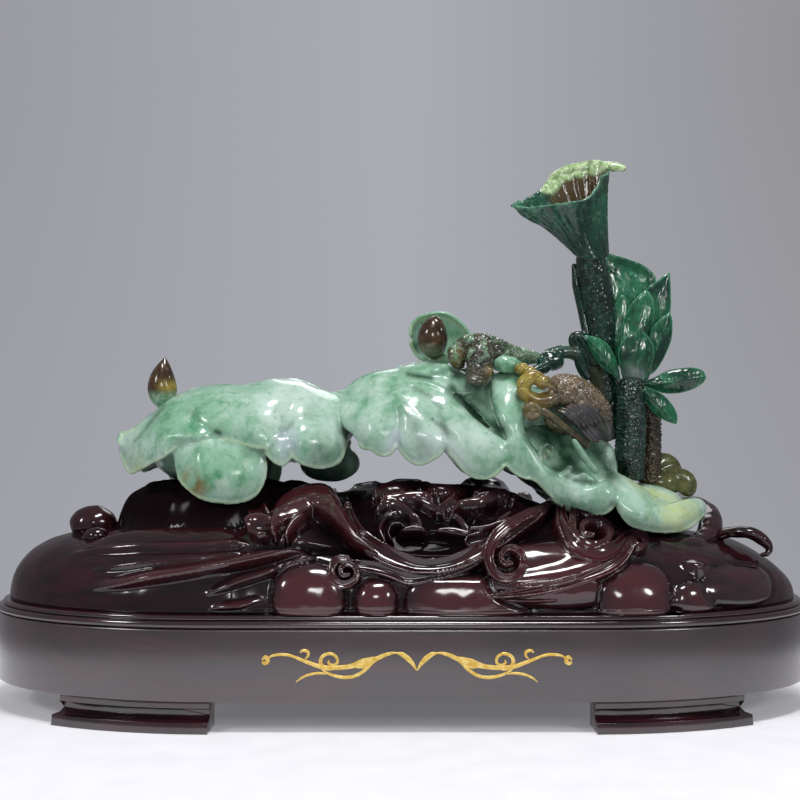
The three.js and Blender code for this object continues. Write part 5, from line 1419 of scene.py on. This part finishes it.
class CARVING_OT_mound(bpy.types.Operator):
    """Models the carved mound with its folds, swells, scrolls, pebbles and curled stump"""

    bl_idname = "carving.mound"
    bl_label = "Carved mound"

    def execute(self, context):
        self.trees = []
        for name in ("leaf_left_skin", "leaf_middle_skin", "leaf_right_skin"):
            skin = bpy.data.objects[name].data
            self.trees.append(BVHTree.FromPolygons([v.co for v in skin.vertices],
                                                   [p.vertices[:] for p in skin.polygons]))
        self.body()
        self.panels()
        self.boulders()
        return {"FINISHED"}

    def shape(self, base, relief, closed):
        """Raises the relief along the bare surface's normals, adds the pads and sinks it under the stone."""
        down = np.gradient(base, axis=0)
        across = (np.roll(base, -1, 1) - np.roll(base, 1, 1)) / 2 if closed else np.gradient(base, axis=1)
        normal = unit(np.cross(across, down)).reshape(-1, 3)
        flat = base.reshape(-1, 3)
        inward = (normal * (flat - (0, 0, 40))).sum(1, keepdims=True) < 0
        normal = np.where(inward, -normal, normal)
        carved = relief(*pixel(turned_front(flat)))
        carved *= np.where(flat[:, 1] < 0, step(2, 26, -flat[:, 1]), step(16, 52, flat[:, 1]))
        uneven = waves(flat, 22, 5) * 0.8 + waves(flat, 8, 6) * 0.25
        lift = carved + uneven * step(DECK, DECK + 6, flat[:, 2])
        points = flat + normal * lift[:, None]
        for *place, height in PADS:
            r = oval(points[:, 0], points[:, 1], *place)
            rock = waves(points * (1, 1, 0.2), 17, 7) * 3.0 + waves(points * (1, 1, 0.2), 7, 8) * 1.2
            top = DECK + height * np.maximum(0, 1 - r**8) ** 0.4 + rock
            points[:, 2] = np.where(r < 1, np.maximum(points[:, 2], top), points[:, 2])
        self.clear_stone(points)
        points[:, 2] = np.maximum(points[:, 2], DECK)
        return points, carved

    def clear_stone(self, points):
        """Keeps the top of the mound a little below the three large leaves."""
        for i in np.nonzero((np.abs(points[:, 1]) < 80) & (points[:, 2] > DECK + 20))[0]:
            for tree in self.trees:
                start = Vector((points[i, 0] * MM, points[i, 1] * MM, 0.05))
                hit = tree.ray_cast(start, Vector((0, 0, 1)), 0.3)[0]
                if hit is not None:
                    points[i, 2] = min(points[i, 2], hit.z / MM - 0.8)

    def body(self):
        """The whole mound, a little lower where the panels cover it."""
        count, rings = 560, 160
        end = MOUND_HALF - STRAIGHT_HALF
        angle = np.linspace(-np.pi / 2, np.pi / 2, 81)
        right = np.stack([STRAIGHT_HALF + end * np.cos(angle), MOUND_DEPTH * np.sin(angle)], 1)
        back = np.stack([np.linspace(STRAIGHT_HALF, -STRAIGHT_HALF, 49)[1:-1], np.full(47, MOUND_DEPTH)], 1)
        plan = smooth_route(np.vstack([right, back, -right, -back]), count, closed=True)
        rho = np.linspace(0, 1, 2000)
        height = 60 * np.maximum(0, 1 - rho**2.6) ** 0.45
        length = np.r_[0, np.cumsum(np.hypot(np.diff(rho) * 125, np.diff(height)))]
        rho = np.interp(np.linspace(length[-1], 0, rings + 1)[:-1], length, rho)[:, None]
        x, y = plan[None, :, 0] * rho, plan[None, :, 1] * rho
        z = DECK + mound_height(x, y)
        z[0] = DECK
        lowered = lambda px, py: drapery(px, py) - 9 * middle_share(px, py, 10)
        points, carved = self.shape(np.stack([x, y, z], -1), lowered, closed=True)
        grid = points.reshape(rings, count, 3)
        piece = piece_from("mound_skin", capped(grid, (0, 0, DECK), grid[-1].mean(0)))
        self.tint(piece, np.r_[carved, 0, 0])
        settle(piece, "stand", "rosewood", rosewood("carved"), "stand_carving")

    def tint(self, piece, carved):
        """Paints light on the raised carving and its swells, and shade in the hollows, along the crest and
        under the pads.
        """
        points = points_of(piece)
        px, py = pixel(turned_front(points))
        swells = np.max([step(1, 0.7, oval(px, py, *swell[:4])) for swell in SWELLS], 0)
        # Painted light: the raised carving lighter red, more on the swells
        paint(piece, "worn_and_lit", step(1.5, 8, carved) * (0.40 + 0.20 * swells))
        # Painted shade in the hollows, a little everywhere but the swells, along the crest and under the pads
        pads = [step(1.15, 0.9, oval(points[:, 0], points[:, 1], *pad[:4])) for pad in PADS]
        crest = step(14, 3, below_crest(px, py)) * (px > 318) * (px < 660)
        hollows = step(2.5, -4.5, carved) * (1 - swells) + 0.1 * (1 - swells)
        paint(piece, "shade", np.max([hollows, crest, *pads], 0))

    def panels(self):
        """The scroll panels of the front and the back, finer than the mound that they lie on."""
        low, high = (spot(px, 560, -70)[0] for px in (PANEL_LOW, PANEL_HIGH))
        deep = np.linspace(MOUND_DEPTH, 0, 900)
        for side, name in ((-1, "scrolls_front"), (1, "scrolls_back")):
            base = np.empty((PANEL_ROWS, PANEL_COLUMNS, 3))
            for i, at in enumerate(np.linspace(low, high, PANEL_COLUMNS)):
                z = DECK + mound_height(np.full(900, -side * at), side * deep)
                section = np.stack([np.full(900, -side * at), side * deep, z], 1)
                seen = pixel(np.stack([np.full(900, at), -deep, z], 1))[1]
                gain = np.abs(np.diff(seen)) + 0.22 * np.hypot(np.diff(deep), np.diff(z))
                length = np.r_[0, np.cumsum(gain)]
                share = np.linspace(0, length[-1], PANEL_ROWS)
                base[:, i] = np.stack([np.interp(share, length, section[:, k]) for k in range(3)], 1)
            points, carved = self.shape(base, self.over_panel, closed=False)
            grid = points.reshape(base.shape)
            under = self.underside(grid, side)
            piece = piece_from(name, self.slab(grid, under))
            self.tint(piece, np.r_[carved, np.full(under[..., 0].size, DEEPEST)])
            settle(piece, "stand", "rosewood", rosewood("carved"))

    def over_panel(self, px, py):
        """Height of a panel: its scrolls in the middle, and just under the folds at its edge."""
        share = middle_share(px, py)
        return scrollwork(px, py) * share + (drapery(px, py) - 4) * (1 - share) + 0.15

    def underside(self, grid, side):
        """A coarser grid that stays inside the carved face all over."""
        picks = np.linspace(0, len(grid) - 1, UNDER_ROWS).round().astype(int)
        reach = len(grid) // UNDER_ROWS + 1
        under = grid[picks].copy()
        for row, at in enumerate(picks):
            around = grid[max(0, at - reach):at + reach + 1]
            under[row, :, 1] = side * ((side * around[..., 1]).min(0) - 2)
            under[row, :, 2] = np.maximum(DECK, around[..., 2].min(0) - 1.5)
        return under

    def slab(self, grid, under):
        """Closes a panel's face and underside round their border."""
        top = np.arange(grid[..., 0].size).reshape(grid.shape[:2])
        low = np.arange(under[..., 0].size).reshape(under.shape[:2]) + top.size
        cells = lambda at: np.stack([at[:-1, :-1], at[:-1, 1:], at[1:, 1:], at[1:, :-1]], -1).reshape(-1, 4)
        strip = lambda a, b: np.stack([a[1:], a[:-1], b[:-1], b[1:]], -1)
        faces = cells(top).tolist() + cells(low)[:, ::-1].tolist()
        faces += strip(top[0], low[0]).tolist() + strip(top[-1, ::-1], low[-1, ::-1]).tolist()
        faces += [top[::-1, -1].tolist() + low[:, -1].tolist(), top[:, 0].tolist() + low[::-1, 0].tolist()]
        return outward((np.vstack([grid.reshape(-1, 3), under.reshape(-1, 3)]), faces))

    def boulders(self):
        """The pebbles, the curled stump and the cradle's rim."""
        rocks = [blob(on_mound(x, y), (rx * 0.68, rx * 0.62, ry * 0.68), 64, 40,
                      lump=lambda p, x=x: 1 + 0.05 * waves(p * 10 + x, 9, 3))
                 for x, y, rx, ry in PEBBLES]
        stump, halves = zip(*STUMP)
        rocks.append(bar(stump, np.array(halves) * 0.7, np.array(halves) * 1.1, 60, 32))
        rocks.append(bar(CRADLE_RIM, (5, 7, 8, 8, 8, 8, 6), (5, 6, 6, 6, 6, 5, 3), 60, 32, facing=(0, 0, 1)))
        piece = piece_from("boulders", merged(rocks))
        points = points_of(piece)
        raise_points(piece, waves(points, 6, 14) * 0.4)
        paint(piece, "worn_and_lit", 0.4 * step(0, 1, waves(points, 14, 13)))
        # Painted shade over all the pebbles, the stump and the cradle's rim
        paint(piece, "shade", np.full(len(points), 0.35))
        settle(piece, "stand", "rosewood", rosewood("carved"))


def on_mound(px, py):
    """The place where the line of sight through a pixel meets the mound, or passes nearest above it."""
    depth = np.linspace(-MOUND_DEPTH, 0, 440)
    sight = spot(px, py, depth)
    gap = sight[:, 2] - DECK - mound_height(sight[:, 0], depth)
    inside = np.nonzero(gap <= 0)[0]
    return sight[inside[0] if len(inside) else np.argmin(gap)]


# Pebbles, the curled stump and the cradle's rim at the right: pixels, half sizes in pixels, depths
PEBBLES = ((94.4, 524, 24, 19), (131, 526, 15, 11), (97, 536, 12.5, 9), (115.5, 537, 7.5, 6))
STUMP = (
    ((714, 536, -16), 6), ((724, 533, -26), 5.5), ((737, 531.5, -34), 5), ((750, 533, -38), 5.5),
    ((761, 539, -40), 6), ((768, 547, -42), 6), ((766, 553, -43), 3.5), ((759, 554.5, -42), 1.5),
)
CRADLE_RIM = ((676, 500, 48), (698, 506, 28), (708, 514, 6), (710, 524, -12), (706, 535, -26),
              (694, 543, -40), (676, 548, -52))


# The plinth

def oval_block(name, low, high, setback, bevel, segments=4):
    """A board with straight front and back and round ends, its edges rounded over."""
    count = 256
    angle = 2 * np.pi * np.arange(count) / count
    x, y = (END_REACH - setback) * np.cos(angle), (HALF_DEPTH - setback) * np.sin(angle)
    x = x + STRAIGHT_HALF * np.sign(x.round(3))
    points = np.vstack([np.stack([x, y, np.full(count, z)], 1) for z in (low, high)])
    sides = [[i, (i + 1) % count, (i + 1) % count + count, i + count] for i in range(count)]
    piece = piece_from(name, (points, [list(range(count))[::-1], list(range(count, 2 * count)), *sides]))
    modified(piece, "BEVEL", width=bevel * MM, segments=segments, limit_method="ANGLE",
             angle_limit=math.radians(50))
    return piece


class CARVING_OT_plinth(bpy.types.Operator):
    """Models the plinth's band, its moulded top board and its feet"""

    bl_idname = "carving.plinth"
    bl_label = "Plinth"

    def execute(self, context):
        band = oval_block("plinth_band", BAND_LOW, BAND_TOP + 0.05, 0.15, 1.4)
        settle(band, "stand", "rosewood", rosewood("satin"), "front_rail", "back_rail", "left_end_block",
               "right_end_block", smooth=35)
        parts = [oval_block("top_board", BAND_TOP + 0.25, 67.9, 0.0, 2.1, 6),
                 oval_block("upper_bead", 67.3, DECK, 3.6, 1.5, 5)]
        only(parts[0])
        parts[1].select_set(True)
        bpy.ops.object.join()
        settle(parts[0], "stand", "rosewood", rosewood("board"), "plinth_top_board", smooth=35)
        for corner in ("front_left", "front_right", "back_left", "back_right"):
            self.foot("foot_" + corner)
        return {"FINISHED"}

    def foot(self, node):
        foot = frame["nodes"][node].copy()
        foot.data = foot.data.copy()
        foot.name = node + "_finished"
        foot.parent = None
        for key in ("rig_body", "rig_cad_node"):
            if key in foot:
                del foot[key]
        bpy.context.scene.collection.objects.link(foot)
        only(foot)
        bpy.ops.object.mode_set(mode="EDIT")
        bpy.ops.mesh.select_all(action="SELECT")
        bpy.ops.mesh.remove_doubles(threshold=1e-5)
        bpy.ops.mesh.dissolve_limited(angle_limit=math.radians(1))
        bpy.ops.object.mode_set(mode="OBJECT")
        modified(foot, "BEVEL", width=0.9 * MM, segments=3, limit_method="ANGLE",
                 angle_limit=math.radians(32))
        settle(foot, "stand", "rosewood", rosewood("board"), node, smooth=35)


# Gold scroll: strokes in pixels of the photographed view, with half widths in millimetres, and the column of
# pixels that it is mirrored about
SCROLL_MIDDLE = 416.6
GOLD_LEFT = (
    (((262, 659), (266, 656), (268, 660), (265, 662.5), (262, 660.5)), (0.5, 1.1, 1.3, 1.1, 0.5)),
    (((267, 659), (273, 654.5), (288, 654), (306, 660.6), (321, 665.7), (337, 666.6), (352, 664.8),
     (364, 660), (375, 656)), (0.5, 0.9, 0.8, 1.1, 1.3, 1.3, 1.4, 1.9, 0.4)),
    (((354, 666), (362, 665), (370, 661), (378, 656.5), (386, 655)), (0.3, 1.6, 2.2, 1, 0.2)),
    (((300, 652), (303, 649.5), (308, 651), (308, 655), (305, 658)), (0.4, 0.9, 1, 0.8, 0.3)),
    (((336, 666), (331, 668), (324, 666.5), (320.5, 661), (323, 655), (330, 652.6), (336, 655.5),
     (337.5, 661), (333, 664), (328.5, 662), (329, 658.6)),
     (0.5, 0.9, 1.1, 1.2, 1.1, 1, 0.9, 0.9, 0.8, 0.8, 0.5)),
    (((319, 664), (323, 669), (330, 673), (340, 675.8), (349.5, 676), (358, 673.5), (366, 668),
     (372, 661.5), (380, 656), (390, 652.5), (398, 651.8)), (0.3, 0.7, 0.9, 1, 1, 1, 1, 1.1, 1.3, 1, 0.3)),
    (((395, 651.8), (402, 653.5), (408, 658), (413, 663.5), (416.4, 669.5)), (0.3, 1.4, 1.6, 1.1, 0.3)),
    (((296, 681), (302, 676.5), (309, 673.5), (319, 672), (327, 673)), (0.2, 0.7, 0.8, 0.8, 0.3)),
)


class CARVING_OT_gold_scroll(bpy.types.Operator):
    """Lays the gold scroll on the front of the plinth, one half mirrored from the other"""

    bl_idname = "carving.gold_scroll"
    bl_label = "Gold scroll"

    def execute(self, context):
        for side, node in ((1, "scroll_inlay_left"), (-1, "scroll_inlay_right")):
            shells = []
            for line, halves in GOLD_LEFT:
                px, py = np.array(line, float).T
                route = spot(SCROLL_MIDDLE + side * (px - SCROLL_MIDDLE), py, -HALF_DEPTH)
                route[:, 1] = -HALF_DEPTH - 0.02
                shells.append(sweep(route, shares(np.array(halves) * 1.05), shares([0.2, 0.5, 0.5, 0.2]),
                                    steps=44, sides=12))
            settle(piece_from("gold_" + node, merged(shells)), "stand", "gilt", gold_leaf(), node)
        return {"FINISHED"}


class CARVING_OT_kept_parts(bpy.types.Operator):
    """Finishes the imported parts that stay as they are"""

    bl_idname = "carving.kept_parts"
    bl_label = "Screws and bottom board"

    def execute(self, context):
        for name, node in frame["nodes"].items():
            if name.endswith("screw_" + name[-1]) or name == "bottom_board":
                node.data.materials.clear()
                node.data.materials.append(rosewood("satin") if name == "bottom_board" else plain_steel())
        return {"FINISHED"}


class CARVING_OT_stage(bpy.types.Operator):
    """Lays the pale floor, and sets the backdrop, the lamps and the camera"""

    bl_idname = "carving.stage"
    bl_label = "Stage"

    def execute(self, context):
        look = context.scene.carving_look
        bpy.ops.object.select_all(action="DESELECT")
        bpy.ops.mesh.primitive_circle_add(vertices=96, radius=1, fill_type="NGON", location=(0, 0, 0))
        floor = context.active_object
        floor.name = "floor"
        bpy.ops.object.mode_set(mode="EDIT")
        bpy.ops.transform.resize(value=(0.62, 0.62, 1))
        bpy.ops.transform.translate(value=(0, -0.1, -0.0002))
        bpy.ops.object.mode_set(mode="OBJECT")
        shader = Shader("floor", Roughness=0.6, Emission_Strength=look.floor_glow)
        speck = shader.cloud(40.0, 3.0)
        light = tuple(look.floor_colour)
        tint = shader.mix(shader.rise(speck, 0.3, 0.7), tuple(c * 0.97 for c in light), light)
        shader.wire(Base_Color=tint, Emission_Color=tint, Roughness=shader.rise(speck, 0.2, 0.8) * 0.1 + 0.5)
        clear = shader.node("ShaderNodeBsdfTransparent")
        solid = Tone(shader, shader.surface.outputs[0])
        inner = shader.near(0, -100, 0, 610, 0.4)
        blend = shader.node("ShaderNodeMixShader", None, {0: inner, 1: clear, 2: solid})
        shader.tree.links.new(blend.socket, shader.tree.nodes["Material Output"].inputs["Surface"])
        floor.data.materials.append(shader.material)
        self.backdrop(look)
        self.lamps(look)
        self.camera(context)
        return {"FINISHED"}

    def backdrop(self, look):
        """A backdrop that is lighter in the middle, and an even light that the camera doesn't see."""
        world = bpy.data.worlds.new("studio")
        bpy.context.scene.world = world
        world.use_nodes = True
        tree = world.node_tree
        tree.nodes.clear()
        out, blend, shown, lit, path, where, split, spread, sink, ramp, tint, seen = (
            tree.nodes.new("ShaderNode" + kind) for kind in (
                "OutputWorld", "MixShader", "Background", "Background", "LightPath", "TexCoord",
                "SeparateXYZ", "MapRange", "MapRange", "ValToRGB", "Mix", "Math"))
        tint.data_type = "RGBA"
        seen.operation = "MAXIMUM"
        for node, key, value in (
                (spread, "From Min", -0.32), (spread, "From Max", 0.32), (sink, "From Min", 0.25),
                (sink, "From Max", -0.15), (sink, "To Max", 0.55), (tint, 7, (*look.backdrop_low, 1)),
                (lit, "Color", (0.93, 0.92, 1.0, 1)), (lit, "Strength", look.sky_strength)):
            node.inputs[key].default_value = value
        ramp.color_ramp.elements.new(0.5)
        for stop, colour in zip(ramp.color_ramp.elements,
                                (look.backdrop_left, look.backdrop_middle, look.backdrop_right)):
            stop.color = (*colour, 1)
        for source, output, target, key in (
                (where, "Generated", split, 0), (split, "X", spread, "Value"), (spread, 0, ramp, "Fac"),
                (split, "Z", sink, "Value"), (sink, 0, tint, 0), (ramp, "Color", tint, 6),
                (tint, 2, shown, "Color"), (path, "Is Camera Ray", seen, 0),
                (path, "Is Transmission Ray", seen, 1), (seen, 0, blend, "Fac"), (lit, 0, blend, 1),
                (shown, 0, blend, 2), (blend, 0, out, "Surface")):
            tree.links.new(source.outputs[output], target.inputs[key])

    def lamps(self, look):
        for name, place, aim, size, power in (
                ("top_lamp", (0.1, -0.35, 1.5), (0, 0, 0.1), (0.5, 0.32), look.top_power),
                ("left_lamp", (-1.3, -1.0, 1.1), (0, 0, 0.15), (0.3, 0.4), look.side_power),
                ("right_lamp", (1.2, -1.2, 0.9), (0, 0, 0.2), (0.25, 0.35), look.side_power * 0.7),
                ("front_lamp", (0.0, -1.9, 0.8), (0, 0, 0.15), (0.45, 0.3), look.side_power * 0.55),
                ("back_lamp", (0.2, 1.5, 1.2), (0, 0, 0.2), (1.0, 0.6), look.side_power * 0.5)):
            lamp = bpy.data.lights.new(name, "AREA")
            lamp.shape = "ELLIPSE"
            lamp.size, lamp.size_y = size
            lamp.energy = power
            holder = bpy.data.objects.new(name, lamp)
            bpy.context.scene.collection.objects.link(holder)
            holder.location = place
            holder.rotation_euler = (Vector(aim) - Vector(place)).to_track_quat("-Z", "Y").to_euler()

    def camera(self, context):
        camera = bpy.data.cameras.new("view")
        camera.sensor_width = SENSOR
        camera.lens = FOCAL / PHOTO_WIDTH * SENSOR
        holder = bpy.data.objects.new("view", camera)
        context.scene.collection.objects.link(holder)
        holder.location = (EYE_SHIFT * MM, -DISTANCE * MM, EYE_HEIGHT * MM)
        holder.rotation_euler = (math.radians(EYE_TILT), 0, 0)
        context.scene.camera = holder
        context.scene.view_settings.view_transform = "Standard"


# Settings, panel and registration

def shade(name, text, default):
    return bpy.props.FloatVectorProperty(name=name, description=text, subtype="COLOR", size=3, min=0, max=1,
                                         default=default)


def amount(name, text, default, unit="NONE"):
    return bpy.props.FloatProperty(name=name, description=text, default=default, min=0, unit=unit)


class CarvingLook(bpy.types.PropertyGroup):
    """Colours and light of the carving"""

    jade_white: shade("Jade white", "Palest colour of the leaves", (0.52, 0.66, 0.59))
    jade_mint: shade("Jade mint", "Middle colour of the leaves", (0.25, 0.46, 0.32))
    jade_green: shade("Jade green", "Green clouds in the leaves", (0.075, 0.27, 0.13))
    wood_dark: shade("Dark wood", "Darkest colour of the wood", (0.010, 0.0035, 0.0045))
    wood_red: shade("Red wood", "Red grain of the wood", (0.038, 0.007, 0.011))
    # The raised carving's lighter red stands for light falling on it: painted light
    wood_lit: shade("Worn wood", "Colour of the raised carving", (0.086, 0.013, 0.018))
    floor_colour: shade("Floor", "Colour of the floor", (0.88, 0.88, 0.92))
    backdrop_left: shade("Backdrop left", "Colour of the backdrop on the left", (0.315, 0.315, 0.345))
    backdrop_middle: shade("Backdrop middle", "Colour of the backdrop in the middle", (0.40, 0.415, 0.455))
    backdrop_right: shade("Backdrop right", "Colour of the backdrop on the right", (0.275, 0.272, 0.29))
    backdrop_low: shade("Backdrop foot", "Colour of the backdrop low down", (0.38, 0.39, 0.43))
    floor_glow: amount("Floor glow", "How much the floor is lit from below", 0.16)
    sky_strength: amount("Ambient light", "Strength of the light all round", 0.25)
    top_power: amount("Top lamp", "Power of the lamp above", 13.0, "POWER")
    side_power: amount("Side lamps", "Power of the lamps beside", 7.5, "POWER")


OPERATORS = (CARVING_OT_stage, CARVING_OT_kept_parts, CARVING_OT_plinth, CARVING_OT_gold_scroll,
             CARVING_OT_leaves, CARVING_OT_buds, CARVING_OT_birds, CARVING_OT_stalks, CARVING_OT_flower,
             CARVING_OT_rolled_leaf, CARVING_OT_mound)


class CARVING_PT_panel(bpy.types.Panel):
    """Lists the steps that build the carving"""

    bl_idname = "CARVING_PT_panel"
    bl_label = "Jade carving"
    bl_space_type = "VIEW_3D"
    bl_region_type = "UI"
    bl_category = "Jade carving"

    def draw(self, context):
        for name in CarvingLook.__annotations__:
            self.layout.prop(context.scene.carving_look, name)
        for operator in OPERATORS:
            self.layout.operator(operator.bl_idname)


def register():
    for kind in (CarvingLook, *OPERATORS, CARVING_PT_panel):
        bpy.utils.register_class(kind)
    bpy.types.Scene.carving_look = bpy.props.PointerProperty(type=CarvingLook)


def unregister():
    del bpy.types.Scene.carving_look
    for kind in (CARVING_PT_panel, *OPERATORS[::-1], CarvingLook):
        bpy.utils.unregister_class(kind)


def main():
    register()
    bpy.ops.carving.stage()
    bpy.ops.carving.kept_parts()
    bpy.ops.carving.plinth()
    bpy.ops.carving.gold_scroll()
    bpy.ops.carving.leaves()
    bpy.ops.carving.buds()
    bpy.ops.carving.birds()
    bpy.ops.carving.stalks()
    bpy.ops.carving.flower()
    bpy.ops.carving.rolled_leaf()
    bpy.ops.carving.mound()


if __name__ == "__main__":
    main()
